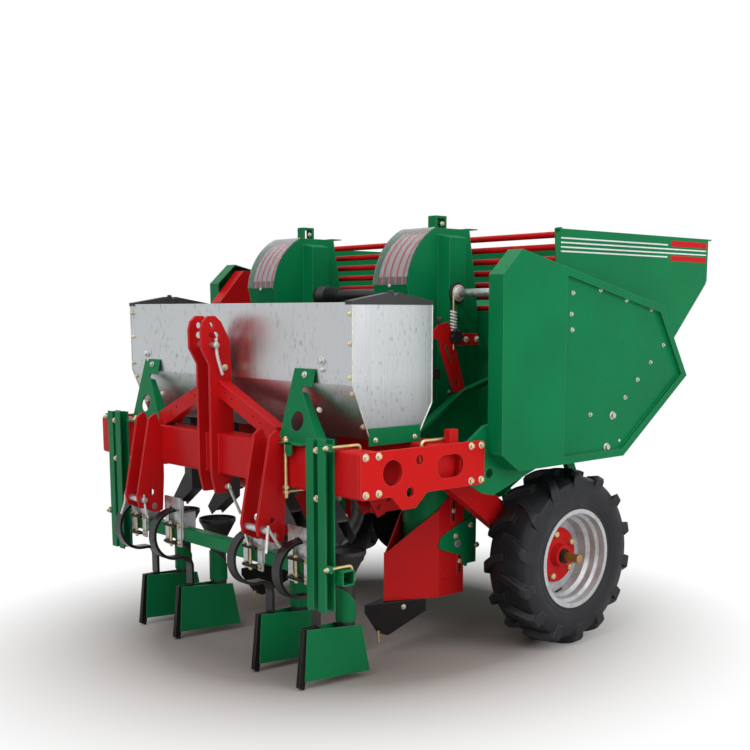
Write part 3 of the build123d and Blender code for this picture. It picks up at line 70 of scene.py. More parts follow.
def at(across, back, up):
    """Point from the distances across, behind the front beam's face and above the ground."""
    return Vector((across, BEAM_FACE + back, up))


# Settings


def colour(name, value):
    """Property for a base colour."""
    return bpy.props.FloatVectorProperty(
        name=name, description=f"Base colour of the {name.lower()}", subtype="COLOR", size=3,
        min=0.0, max=1.0, default=value,
    )


def length(name, description, value):
    """Property for a length in metres."""
    return bpy.props.FloatProperty(name=name, description=description, unit="LENGTH", default=value)


def number(name, description, value):
    """Property for a plain number."""
    return bpy.props.FloatProperty(name=name, description=description, default=value)


class PlanterFinishes(bpy.types.PropertyGroup):
    """Colours and surface sizes of the finishes."""

    green: colour("Green paint", (0.0010, 0.205, 0.066))
    red: colour("Red paint", (0.62, 0.009, 0.011))
    bright_red: colour("Plate red", (0.68, 0.009, 0.008))
    black: colour("Black paint", (0.007, 0.007, 0.008))
    steel: colour("Stainless sheet", (0.56, 0.58, 0.59))
    zinc: colour("Galvanised steel", (0.60, 0.61, 0.62))
    yellow: colour("Yellow zinc", (0.80, 0.64, 0.30))
    bright: colour("White zinc", (0.80, 0.79, 0.74))
    brass: colour("Axle end", (0.50, 0.28, 0.06))
    grey: colour("Grey plastic", (0.045, 0.046, 0.050))
    rubber: colour("Tyre rubber", (0.0075, 0.0085, 0.0115))
    belt: colour("Belt rubber", (0.34, 0.335, 0.345))
    silver: colour("Rim silver", (0.60, 0.62, 0.635))
    white: colour("Line white", (0.95, 0.96, 0.95))
    # Painted shade: near-black that stands in for the dark inside of open holes and slots.
    hole: colour("Open hole", (0.004, 0.004, 0.004))
    edge: length("Edge rounding", "Radius that edges are shaded with", 0.0030)
    peel: number("Paint peel", "Depth of the paint's fine ripple", 0.05)


class PlanterSizes(bpy.types.PropertyGroup):
    """Sizes of the fittings."""

    head: length("Bolt head", "Half the width of a bolt's head across its corners", 0.0105)
    head_height: length("Head height", "Height of a bolt's head", 0.0075)
    washer: length("Washer", "Radius of a washer", 0.0140)
    washer_height: length("Washer height", "Thickness of a washer", 0.0025)
    rod: length("Rod", "Radius of hook bolts and handles", 0.0065)
    weld: length("Weld bead", "Radius of a weld bead", 0.0035)
    line: length("Stripe", "Width of a painted line", 0.0062)
    coat: length("Coat", "Thickness of painted lines", 0.0006)
    lugs: bpy.props.IntProperty(name="Lugs", description="Lugs on each half of a tyre", default=14)
    turns: number("Spring turns", "Turns of the lever spring", 6.5)


class PlanterStage(bpy.types.PropertyGroup):
    """Lamps, floor and camera."""

    camera: bpy.props.FloatVectorProperty(
        name="Camera", description="Place of the camera", subtype="XYZ", size=3,
        default=(3.8592, -3.5209, 1.4379),
    )
    tilt: number("Tilt", "Camera's tilt from straight down, in degrees", 81.3372)
    turn: number("Turn", "Camera's turn about the vertical, in degrees", 48.7207)
    lens: number("Lens", "Focal length in millimetres", 53.272)
    shift_x: number("Shift X", "Sideways shift of the picture", 0.0005)
    shift_y: number("Shift Y", "Upward shift of the picture", 0.1406)
    key: number("Key", "Strength of the main lamp", 115.0)
    fill: number("Fill", "Strength of the fill lamp", 87.0)
    top: number("Top", "Strength of the top lamp", 70.0)
    sky: number("Sky", "Strength of the even light", 0.34)


# Shader parts

FLOAT, TINT, VECTOR = "NodeSocketFloat", "NodeSocketColor", "NodeSocketVector"
EARTH, DRY_DUST, GRIME = (0.30, 0.25, 0.19, 1), (0.22, 0.20, 0.17, 1), (0.16, 0.14, 0.11, 1)
# SCUFF colours the stains; the second is the dark grey that the stainless sheet turns to low down.
SCUFF, LOW_DARK_GREY = (0.07, 0.07, 0.08, 1), (0.12, 0.12, 0.12, 1)
WHITE = (1, 1, 1, 1)


def add_node(tree, kind, inputs=None, **settings):
    """New node with its settings, and each input linked or set."""
    node = tree.nodes.new(kind)
    for key, value in settings.items():
        setattr(node, key, value)
    for key, value in (inputs or {}).items():
        if isinstance(value, bpy.types.NodeSocket):
            tree.links.new(value, node.inputs[key])
        else:
            node.inputs[key].default_value = value
    return node


def noise(tree, vector, scale, detail):
    """Smooth noise between nought and one."""
    inputs = {"Vector": vector, "Scale": scale, "Detail": detail}
    return add_node(tree, "ShaderNodeTexNoise", inputs).outputs[0]


def remap(tree, value, low, high, new_low, new_high):
    """The value carried from one range to another and held inside it."""
    inputs = {"Value": value, "From Min": low, "From Max": high, "To Min": new_low, "To Max": new_high}
    return add_node(tree, "ShaderNodeMapRange", inputs).outputs[0]


def blend(tree, factor, first, second, mode="MIX"):
    """Two colours mixed."""
    inputs = {0: factor, 6: first, 7: second}
    return add_node(tree, "ShaderNodeMix", inputs, data_type="RGBA", blend_type=mode).outputs[2]


def maths(tree, operation, first, second):
    """Result of one sum."""
    return add_node(tree, "ShaderNodeMath", {0: first, 1: second}, operation=operation).outputs[0]


def mapped(tree, vector, scale, location=(0.0, 0.0, 0.0)):
    """Coordinates scaled and moved."""
    inputs = {"Vector": vector, "Location": location, "Scale": scale}
    return add_node(tree, "ShaderNodeMapping", inputs).outputs[0]


def height_of(tree, place):
    """Height above the ground."""
    return add_node(tree, "ShaderNodeSeparateXYZ", {"Vector": place}).outputs["Z"]


def seen_rays(tree):
    """One for rays from the camera, from a gloss or through clear sheet, and nought for the others."""
    path = add_node(tree, "ShaderNodeLightPath").outputs
    indirect = maths(tree, "MAXIMUM", path["Is Glossy Ray"], path["Is Transmission Ray"])
    return maths(tree, "MAXIMUM", path["Is Camera Ray"], indirect)


def make_group(name, inputs, outputs):
    """Empty shader group with named sockets; gives the tree, what goes in and what comes out."""
    tree = bpy.data.node_groups.new(name, "ShaderNodeTree")
    for label, kind, value in inputs:
        socket = tree.interface.new_socket(label, in_out="INPUT", socket_type=kind)
        if value is not None:
            socket.default_value = value
    for label, kind in outputs:
        tree.interface.new_socket(label, in_out="OUTPUT", socket_type=kind)
    return tree, tree.nodes.new("NodeGroupInput").outputs, tree.nodes.new("NodeGroupOutput").inputs


def skin_group(name, setting, value, relief=True):
    """Group for a finish with one setting of its own; also gives the object's coordinates."""
    inputs = [("Colour", TINT, None), ("Edge", FLOAT, 0.0)]
    outputs = [("Colour", TINT), ("Roughness", FLOAT)]
    if relief:
        inputs.append(("Normal", VECTOR, None))
        outputs.append(("Normal", VECTOR))
    tree, given, sink = make_group(name, [*inputs, (setting, FLOAT, value)], outputs)
    return tree, given, sink, add_node(tree, "ShaderNodeTexCoord").outputs["Object"]


def bumped(tree, normal, height, strength, distance):
    """The normal with a fine relief."""
    inputs = {"Strength": strength, "Distance": distance, "Height": height, "Normal": normal}
    return add_node(tree, "ShaderNodeBump", inputs).outputs[0]


def give(tree, sink, **values):
    """Links each value to the output of that name."""
    for label, value in values.items():
        tree.links.new(value, sink[label])


def edge_group():
    """Normal rounded at the edges, and a mask of where they are."""
    tree, given, sink = make_group("Rounded Edge", [("Radius", FLOAT, 0.002)],
                                   [("Normal", VECTOR), ("Mask", FLOAT)])
    bevel = add_node(tree, "ShaderNodeBevel", {"Radius": given["Radius"]}, samples=4).outputs[0]
    flat = add_node(tree, "ShaderNodeNewGeometry").outputs["Normal"]
    dot = add_node(tree, "ShaderNodeVectorMath", {0: bevel, 1: flat}, operation="DOT_PRODUCT")
    give(tree, sink, Normal=bevel, Mask=remap(tree, dot.outputs["Value"], 0.995, 0.80, 0.0, 1.0))


def paint_group():
    """Sprayed paint: slow drift of shade, fine ripple, painted highlights on the edges and dust low down."""
    tree, given, sink, place = skin_group("Sprayed Paint", "Peel", 0.05)
    drift = remap(tree, noise(tree, place, 2.6, 4.0), 0.3, 0.7, 0.0, 1.0)
    specks = remap(tree, noise(tree, place, 46.0, 2.0), 0.62, 0.74, 0.0, 0.35)
    deep = blend(tree, 1.0, given["Colour"], (0.80, 0.80, 0.82, 1), "MULTIPLY")
    # Painted highlight: a paler copy of the colour, blended in along the edges.
    pale = blend(tree, 0.24, given["Colour"], (0.75, 0.75, 0.72, 1))
    shade = blend(tree, drift, deep, given["Colour"])
    shade = blend(tree, maths(tree, "MULTIPLY", given["Edge"], 0.75), shade, pale)
    low = remap(tree, height_of(tree, place), 0.0, 0.7, 0.05, 0.0)
    dust = maths(tree, "MULTIPLY", low, noise(tree, place, 9.0, 5.0))
    shade = blend(tree, dust, shade, EARTH)
    rough = maths(tree, "ADD", remap(tree, drift, 0.0, 1.0, 0.30, 0.40), specks)
    ripple = noise(tree, place, 330.0, 2.0)
    normal = bumped(tree, given["Normal"], ripple, given["Peel"], 0.002)
    give(tree, sink, Colour=shade, Roughness=rough, Normal=normal)


def brushed_group():
    """Upright brushing with dark marks and clouded stains, as on a used sheet; darker towards the bottom, and
    painted highlights on the edges.
    """
    tree, given, sink, place = skin_group("Brushed Sheet", "Stain", 0.5)
    streak = noise(tree, mapped(tree, place, (330.0, 330.0, 3.0)), 1.0, 4.0)
    marks = noise(tree, mapped(tree, place, (74.0, 74.0, 34.0)), 1.0, 4.0)
    marks = remap(tree, marks, 0.57, 0.70, 0.0, 1.0)
    cloud = remap(tree, noise(tree, place, 4.2, 3.0), 0.42, 0.62, 0.06, 1.0)
    stain = maths(tree, "MULTIPLY", maths(tree, "MULTIPLY", marks, cloud), given["Stain"])
    deep = blend(tree, 1.0, given["Colour"], (0.78, 0.78, 0.79, 1), "MULTIPLY")
    shade = blend(tree, streak, deep, given["Colour"])
    shade = blend(tree, stain, shade, SCUFF)
    # Darker towards the bottom: below 1.2 m the sheet is blended towards dark grey.
    low_darkening = remap(tree, height_of(tree, place), 1.00, 1.20, 0.55, 0.0)
    shade = blend(tree, low_darkening, shade, LOW_DARK_GREY)
    # Painted highlight: edges blended towards pale grey.
    shade = blend(tree, given["Edge"], shade, (0.92, 0.92, 0.92, 1))
    brushing = remap(tree, streak, 0.3, 0.7, 0.26, 0.42)
    rough = maths(tree, "ADD", brushing, maths(tree, "MULTIPLY", stain, 0.25))
    normal = bumped(tree, given["Normal"], streak, 0.06, 0.001)
    give(tree, sink, Colour=shade, Roughness=rough, Normal=normal)


def zinc_group():
    """Zinc with crystals of differing shade, and painted highlights on the edges."""
    tree, given, sink, place = skin_group("Zinc Coat", "Crystal", 90.0, relief=False)
    cells = add_node(tree, "ShaderNodeTexVoronoi", {"Vector": place, "Scale": given["Crystal"]})
    tone = add_node(tree, "ShaderNodeSeparateColor", {"Color": cells.outputs["Color"]}).outputs[0]
    grime = remap(tree, noise(tree, place, 16.0, 4.0), 0.45, 0.75, 0.0, 0.45)
    deep = blend(tree, 1.0, given["Colour"], (0.72, 0.72, 0.73, 1), "MULTIPLY")
    shade = blend(tree, tone, deep, given["Colour"])
    shade = blend(tree, grime, shade, GRIME)
    # Painted highlight: edges blended towards near-white.
    shade = blend(tree, maths(tree, "MULTIPLY", given["Edge"], 0.6), shade, (0.9, 0.9, 0.88, 1))
    give(tree, sink, Colour=shade, Roughness=remap(tree, tone, 0.0, 1.0, 0.30, 0.46))


def moulded_group():
    """Moulded rubber or plastic with a fine grain, a little dust and painted highlights on the edges."""
    tree, given, sink, place = skin_group("Moulded Skin", "Dust", 0.1)
    patch = remap(tree, noise(tree, place, 11.0, 5.0), 0.35, 0.75, 0.0, 1.0)
    dust = maths(tree, "MULTIPLY", patch, given["Dust"])
    shade = blend(tree, dust, given["Colour"], DRY_DUST)
    # Painted highlight: a lighter copy of the colour, blended in along the edges.
    edge_highlight = blend(tree, 0.16, given["Colour"], (0.6, 0.6, 0.6, 1))
    shade = blend(tree, maths(tree, "MULTIPLY", given["Edge"], 0.5), shade, edge_highlight)
    normal = bumped(tree, given["Normal"], noise(tree, place, 420.0, 2.0), 0.12, 0.001)
    give(tree, sink, Colour=shade, Roughness=remap(tree, patch, 0.0, 1.0, 0.42, 0.66), Normal=normal)


def finish(name, kind, tint, extra=None, **constants):
    """Material made of one of the shared groups and a plain shader."""
    groups = bpy.data.node_groups
    material = bpy.data.materials.new(f"coat_{name}")
    material.use_nodes = True
    tree = material.node_tree
    shader = tree.nodes["Principled BSDF"].inputs
    radius = bpy.context.scene.planter_finishes.edge
    edge = add_node(tree, "ShaderNodeGroup", {"Radius": radius}, node_tree=groups["Rounded Edge"]).outputs
    inputs = {"Colour": (*tint, 1.0), "Edge": edge["Mask"], **(extra or {})}
    skin = add_node(tree, "ShaderNodeGroup", inputs, node_tree=groups[kind])
    normal = edge["Normal"]
    if "Normal" in skin.inputs:
        tree.links.new(normal, skin.inputs["Normal"])
        normal = skin.outputs["Normal"]
    tree.links.new(skin.outputs["Colour"], shader["Base Color"])
    tree.links.new(skin.outputs["Roughness"], shader["Roughness"])
    tree.links.new(normal, shader["Normal"])
    for key, value in constants.items():
        shader[key.replace("_", " ").title().replace("Ior", "IOR")].default_value = value


def coat(name):
    """The finish of that name."""
    return bpy.data.materials[f"coat_{name}"]


# Mesh parts


def round_points(radius, start, end, step):
    """Points on an arc, with its angles in degrees."""
    angles = [math.radians(angle) for angle in range(start, end + 1, step)]
    return [(radius * math.cos(angle), radius * math.sin(angle)) for angle in angles]


def join_rings(bm, rings, closed=False):
    """Faces from each ring of points to the next, with lids on the ends unless the run is closed."""
    pairs = list(zip(rings, rings[1:]))
    if closed:
        pairs.append((rings[-1], rings[0]))
    else:
        bm.faces.new(rings[0])
        bm.faces.new(rings[-1])
    for a, b in pairs:
        for k in range(len(a)):
            n = (k + 1) % len(a)
            bm.faces.new((a[k], a[n], b[n], b[k]))


def add_ring(bm, centre, across, side, radius, steps):
    """Ring of points about a centre."""
    ring = []
    for k in range(steps):
        angle = 2 * math.pi * k / steps
        spoke = across * math.cos(angle) + side * math.sin(angle)
        ring.append(bm.verts.new(centre + spoke * radius))
    return ring


def add_prism(bm, outline, origin, across, up, depth):
    """Flat plate: an outline in the plane of across and up, made thick along their normal."""
    normal = across.cross(up).normalized() * depth
    rings = []
    for shift in (Vector(), normal):
        rings.append([bm.verts.new(origin + across * u + up * v + shift) for u, v in outline])
    join_rings(bm, rings)


def add_upright(bm, outline, centre, side, near, thick, place=(0, 0)):
    """Plate that stands along the machine, beside a centre line and made thick outward."""
    start = min(centre + side * near, centre + side * (near + thick))
    add_prism(bm, outline, at(start, *place), BACK, UP, thick)


def add_box(bm, low, high):
    """Box between two corners."""
    size = high - low
    add_prism(bm, [(0, 0), (size.x, 0), (size.x, size.y), (0, size.y)], low, RIGHT, BACK, size.z)


def add_pad(bm, centre, side, span, low, high):
    """Box beside a centre line: its span across, and two corners as (back, up)."""
    start, end = sorted(centre + side * reach for reach in span)
    add_box(bm, at(start, *low), at(end, *high))


def rounded_path(points, bend, steps=5):
    """The points with each inner corner turned into an arc."""
    path = [points[0]]
    for before, corner, after in zip(points, points[1:], points[2:]):
        a, b = (before - corner), (after - corner)
        reach = min(bend, a.length * 0.49, b.length * 0.49)
        start, end = corner + a.normalized() * reach, corner + b.normalized() * reach
        for k in range(steps + 1):
            t = k / steps
            path.append(start * (1 - t) ** 2 + corner * 2 * t * (1 - t) + end * t * t)
    path.append(points[-1])
    return path


def add_rod(bm, points, radius, sides=12, bend=0.02):
    """Round rod along the points, with rounded bends and domed ends."""
    dome_lift, dome_share = 0.35, 0.72
    path = rounded_path(points, bend) if len(points) > 2 else points
    heading = (path[1] - path[0]).normalized()
    across = heading.orthogonal().normalized()
    rings = []
    for i, point in enumerate(path):
        ahead = path[min(i + 1, len(path) - 1)] - path[max(i - 1, 0)]
        turn = heading.rotation_difference(ahead.normalized())
        across = (turn @ across).normalized()
        heading = ahead.normalized()
        stations = [(0.0, 1.0)]
        if i == 0:
            stations.insert(0, (-dome_lift, dome_share))
        elif i == len(path) - 1:
            stations.append((dome_lift, dome_share))
        for lift, share in stations:
            centre = point + heading * (lift * radius)
            rings.append(add_ring(bm, centre, across, heading.cross(across), radius * share, sides))
    join_rings(bm, rings)


def add_rods(bm, runs, side=1):
    """Rods from rows of (points, radius), on one side of the machine."""
    for points, radius in runs:
        add_rod(bm, [at(side * x, y, z) for x, y, z in points], radius)


def add_lathe(bm, profile, origin, axis, steps=32, closed=False):
    """Turns a profile of (radius, height) round an axis; ends are capped unless the profile is closed."""
    across = axis.orthogonal().normalized()
    side = axis.cross(across)
    rings = [add_ring(bm, origin + axis * height, across, side, radius, steps) for radius, height in profile]
    join_rings(bm, rings, closed)


def add_tube(bm, centre, axis, inner, outer, depth, steps=32):
    """Short tube along an axis."""
    add_lathe(bm, [(inner, 0), (outer, 0), (outer, depth), (inner, depth)], centre, axis, steps, closed=True)


def new_piece(name, shape, material, body="frame", sharp=35.0):
    """Object from a bmesh or a mesh: normals outward, smooth up to an angle, riding on a body."""
    if isinstance(shape, bmesh.types.BMesh):
        bmesh.ops.recalc_face_normals(shape, faces=shape.faces)
        mesh = bpy.data.meshes.new(name)
        shape.to_mesh(mesh)
        shape.free()
    else:
        mesh = shape
        mesh.name = name
    mesh.materials.clear()
    mesh.materials.append(coat(material))
    mesh.shade_smooth()
    mesh.set_sharp_from_angle(angle=math.radians(sharp))
    piece = bpy.data.objects.new(name, mesh)
    bpy.context.collection.objects.link(piece)
    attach(piece, body)
    return piece


def shapes(count):
    """Empty meshes to add to."""
    return [bmesh.new() for _ in range(count)]


# Geometry Nodes trees

WHOLE = "NodeSocketInt"


def new_tree(name, sockets):
    """Empty geometry tree with named inputs and a finish; gives the tree and what goes in."""
    tree = bpy.data.node_groups.new(name, "GeometryNodeTree")
    tree.interface.new_socket("Geometry", in_out="INPUT", socket_type="NodeSocketGeometry")
    for label, kind in [*sockets, ("Finish", "NodeSocketMaterial")]:
        tree.interface.new_socket(label, in_out="INPUT", socket_type=kind)
    tree.interface.new_socket("Geometry", in_out="OUTPUT", socket_type="NodeSocketGeometry")
    return tree, tree.nodes.new("NodeGroupInput").outputs


def close_tree(tree, given, geometry):
    """Makes the instances real and gives them the finish."""
    solid = add_node(tree, "GeometryNodeRealizeInstances", {"Geometry": geometry}).outputs[0]
    coated = add_node(tree, "GeometryNodeSetMaterial", {"Geometry": solid, "Material": given["Finish"]})
    tree.links.new(coated.outputs[0], tree.nodes.new("NodeGroupOutput").inputs[0])


def fastener_tree():
    """Chamfered head of a given number of sides at every point, turned to the point's facing."""
    crown_rim, crown_height = 0.80, 0.22
    tree, given = new_tree("Fasteners", [("Sides", WHOLE), ("Radius", FLOAT), ("Height", FLOAT),
                                         ("Lift", FLOAT)])
    sides, radius, height = given["Sides"], given["Radius"], given["Height"]
    stock = add_node(tree, "GeometryNodeMeshCylinder", {"Vertices": sides, "Radius": radius, "Depth": height})
    crown = add_node(tree, "GeometryNodeMeshCone", {
        "Vertices": sides, "Radius Top": maths(tree, "MULTIPLY", radius, crown_rim),
        "Radius Bottom": radius, "Depth": maths(tree, "MULTIPLY", height, crown_height),
    })
    joined = add_node(tree, "GeometryNodeJoinGeometry")
    for shape, middle in ((stock, maths(tree, "MULTIPLY", height, 0.5)), (crown, height)):
        rise = maths(tree, "ADD", middle, given["Lift"])
        place = add_node(tree, "ShaderNodeCombineXYZ", {"Z": rise}).outputs[0]
        moved = add_node(tree, "GeometryNodeTransform", {"Geometry": shape.outputs[0], "Translation": place})
        tree.links.new(moved.outputs[0], joined.inputs[0])
    facing = add_node(tree, "GeometryNodeInputNamedAttribute", {"Name": "facing"}, data_type="FLOAT_VECTOR")
    size = add_node(tree, "GeometryNodeInputNamedAttribute", {"Name": "size"}, data_type="FLOAT")
    turn = add_node(tree, "FunctionNodeAlignRotationToVector", {"Vector": facing.outputs[0]}, axis="Z")
    spread = add_node(tree, "GeometryNodeInstanceOnPoints", {
        "Points": given["Geometry"], "Instance": joined.outputs[0], "Rotation": turn.outputs[0],
        "Scale": size.outputs[0],
    })
    close_tree(tree, given, spread.outputs[0])


def coil_tree():
    """Round wire wound into a coil that stands on the origin."""
    tree, given = new_tree("Coil", [("Turns", FLOAT), ("Radius", FLOAT), ("Wire", FLOAT), ("Height", FLOAT)])
    spiral = add_node(tree, "GeometryNodeCurveSpiral", {
        "Resolution": 20, "Rotations": given["Turns"], "Start Radius": given["Radius"],
        "End Radius": given["Radius"], "Height": given["Height"],
    })
    wire = add_node(tree, "GeometryNodeCurvePrimitiveCircle", {"Resolution": 8, "Radius": given["Wire"]})
    swept = add_node(tree, "GeometryNodeCurveToMesh", {
        "Curve": spiral.outputs[0], "Profile Curve": wire.outputs[0], "Fill Caps": True,
    })
    close_tree(tree, given, swept.outputs[0])


def ring_tree():
    """Copies of a mesh set evenly about the X axis."""
    tree, given = new_tree("Ring About X", [("Count", WHOLE), ("Start", FLOAT)])
    points = add_node(tree, "GeometryNodePoints", {"Count": given["Count"]})
    step = maths(tree, "DIVIDE", 2 * math.pi, given["Count"])
    place = maths(tree, "ADD", add_node(tree, "GeometryNodeInputIndex").outputs[0], given["Start"])
    turn = add_node(tree, "ShaderNodeCombineXYZ", {"X": maths(tree, "MULTIPLY", place, step)})
    spread = add_node(tree, "GeometryNodeInstanceOnPoints", {
        "Points": points.outputs[0], "Instance": given["Geometry"], "Rotation": turn.outputs[0],
    })
    close_tree(tree, given, spread.outputs[0])


def grown(name, base, material, values):
    """Plain mesh that a tree makes from a base mesh, with its finish and named inputs set."""
    tree = bpy.data.node_groups[name]
    values = {"Finish": coat(material), **values}
    holder = bpy.data.objects.new("holder", base)
    bpy.context.collection.objects.link(holder)
    modifier = holder.modifiers.new("grow", "NODES")
    modifier.node_group = tree
    for item in tree.interface.items_tree:
        if item.in_out == "INPUT" and item.name in values:
            modifier[item.identifier] = values[item.name]
    graph = bpy.context.evaluated_depsgraph_get()
    mesh = bpy.data.meshes.new_from_object(holder.evaluated_get(graph))
    holder.modifiers.remove(modifier)
    bpy.data.objects.remove(holder)
    bpy.data.meshes.remove(base)
    return mesh


def point_mesh(spots):
    """Loose points with a facing and a size, from (place, facing, size)."""
    mesh = bpy.data.meshes.new("spots")
    mesh.from_pydata([tuple(place) for place, _, _ in spots], [], [])
    facing = mesh.attributes.new("facing", "FLOAT_VECTOR", "POINT")
    facing.data.foreach_set("vector", [value for _, way, _ in spots for value in way])
    size = mesh.attributes.new("size", "FLOAT", "POINT")
    size.data.foreach_set("value", [value for _, _, value in spots])
    return mesh


def fasteners(name, spots, material, sides, radius, height, lift=0.0, body="frame"):
    """Piece with a head, nut or washer at each of the spots."""
    values = {"Sides": sides, "Radius": radius, "Height": height, "Lift": lift}
    new_piece(name, grown("Fasteners", point_mesh(spots), material, values), material, body)


def bolts(name, spots, head="yellow_zinc"):
    """Washers and hexagon heads at the spots."""
    sizes = bpy.context.scene.planter_sizes
    fasteners(f"{name}_washers", spots, "white_zinc", 24, sizes.washer, sizes.washer_height)
    fasteners(f"{name}_heads", spots, head, 6, sizes.head, sizes.head_height, sizes.washer_height)


def mirrored(spots):
    """The spots and their mirror images across the machine."""
    flip = Vector((-1, 1, 1))
    return spots + [(place * flip, way * flip, size) for place, way, size in spots]


# Operators


class PlanterOperator:
    """What the planter's operators share."""

    bl_options = {"REGISTER"}


class PLANTER_OT_finishes(PlanterOperator, bpy.types.Operator):
    """Make the finishes and put them on the frame's pieces"""

    bl_idname = "planter.finishes"
    bl_label = "Finishes"

    special = {"side_plate_left": "plate_red", "side_plate_right": "plate_red", "spring_tines": "gloss_black"}

    def execute(self, context):
        tones = context.scene.planter_finishes
        for make in (edge_group, paint_group, brushed_group, zinc_group, moulded_group,
                     fastener_tree, coil_tree, ring_tree):
            make()
        paint, zinc, skin = "Sprayed Paint", "Zinc Coat", "Moulded Skin"
        peel, fine = {"Peel": tones.peel}, {"Crystal": 300.0}
        finish("green_paint", paint, tones.green, peel, specular_ior_level=0.10)
        finish("red_paint", paint, tones.red, peel, specular_ior_level=0.10)
        finish("plate_red", paint, tones.bright_red, peel, specular_ior_level=0.10)
        finish("belt_red", paint, tones.bright_red, peel)
        finish("black_paint", paint, tones.black, peel, specular_ior_level=0.12)
        finish("gloss_black", paint, tones.black, peel, specular_ior_level=0.30, coat_weight=0.10)
        finish("line_white", paint, tones.white, peel)
        # Painted shade: near-black finish for the slots and holes drawn on the boots.
        finish("hole_dark", paint, tones.hole, peel)
        finish("stainless", "Brushed Sheet", tones.steel, metallic=1.0)
        finish("rim_silver", zinc, tones.silver, {"Crystal": 420.0}, metallic=0.30)
        finish("galvanised", zinc, tones.zinc, metallic=0.85)
        finish("yellow_zinc", zinc, tones.yellow, fine, metallic=0.8)
        finish("brass_end", zinc, tones.brass, fine, metallic=0.9)
        finish("white_zinc", zinc, tones.bright, fine, metallic=0.55)
        finish("grey_plastic", skin, tones.grey, {"Dust": 0.05})
        finish("black_plastic", skin, tones.black, {"Dust": 0.04})
        finish("belt_rubber", skin, tones.belt, {"Dust": 0.10})
        finish("tyre", skin, tones.rubber, {"Dust": 0.02}, specular_ior_level=0.30)
        self.clear_sheet()
        self.dress_frame()
        return {"FINISHED"}

    def clear_sheet(self):
        """Clear bent sheet, faintly milky."""
        material = bpy.data.materials.new("coat_clear_plastic")
        material.use_nodes = True
        shader = material.node_tree.nodes["Principled BSDF"]
        for key, value in {"Base Color": (0.93, 0.93, 0.96, 1), "Roughness": 0.03, "IOR": 1.45,
                           "Transmission Weight": 1.0}.items():
            shader.inputs[key].default_value = value

    def dress_frame(self):
        """Each piece of the frame gets the finish of its slot, or one of its own."""
        for part in frame["record"]["subparts"]:
            node = part["node"]
            material = coat(self.special.get(node, part["material_slot"]))
            piece = bpy.data.objects[node]
            for slot in piece.material_slots:
                slot.material = material
            if not piece.material_slots:
                piece.data.materials.append(material)


class PLANTER_OT_frame_bolts(PlanterOperator, bpy.types.Operator):
    """Bolt the side plates, posts, end plates and gussets"""

    bl_idname = "planter.frame_bolts"
    bl_label = "Frame bolts"

    corners = [(y, z) for y in (0.023, 0.084, 0.556, 0.611) for z in (0.930, 0.796)]
    ends = [(0.192, 0.967), (0.390, 0.967)]
    posts = [0.944, 0.768]
    hook_x, hook_drop = 0.813, 0.05
    hooks = [(0.958, 0.108), (0.516, 0.066)]
    clamp = [(0.360, 0.86), (0.360, 0.957), (0.530, 0.957), (0.530, 0.86)]
    stops = [((0.896, 0.902), (0.379, 0.786), (0.511, 0.938)),
             ((0.882, 0.912), (0.470, 0.947), (0.514, 0.996))]

    def execute(self, context):
        rod = context.scene.planter_sizes.rod
        spots = [(at(PLATE_FACE, y, z), RIGHT, 1.0) for y, z in self.corners]
        spots += [(at(0.803, y, z), RIGHT, 0.75) for y, z in self.ends]
        spots += [(at(0.745, -0.040, z), -BACK, 0.9) for z in self.posts]
        bolts("frame_bolts", mirrored(spots))
        hooks, lugs, stops = shapes(3)
        for side in SIDES:
            x = side * self.hook_x
            for z, reach in self.hooks:
                tip = at(x, reach, z - self.hook_drop)
                add_rod(hooks, [at(x, -0.060, z), at(x, reach, z), tip], rod, bend=0.014)
                add_box(lugs, at(x - 0.014, -0.044, z - 0.013), at(x + 0.014, -0.032, z + 0.013))
            add_rod(hooks, [at(side * 0.872, y, z) for y, z in self.clamp], rod, bend=0.018)
            for span, low, high in self.stops:
                add_pad(stops, 0, side, span, low, high)
        new_piece("hook_bolts", hooks, "yellow_zinc")
        new_piece("hook_lugs", lugs, "green_paint")
        new_piece("beam_stops", stops, "red_paint")
        nuts = [(at(self.hook_x, -0.044, z), -BACK, 0.85) for z, _ in self.hooks]
        fasteners("hook_nuts", mirrored(nuts), "white_zinc", 6, 0.0115, 0.009)
        return {"FINISHED"}


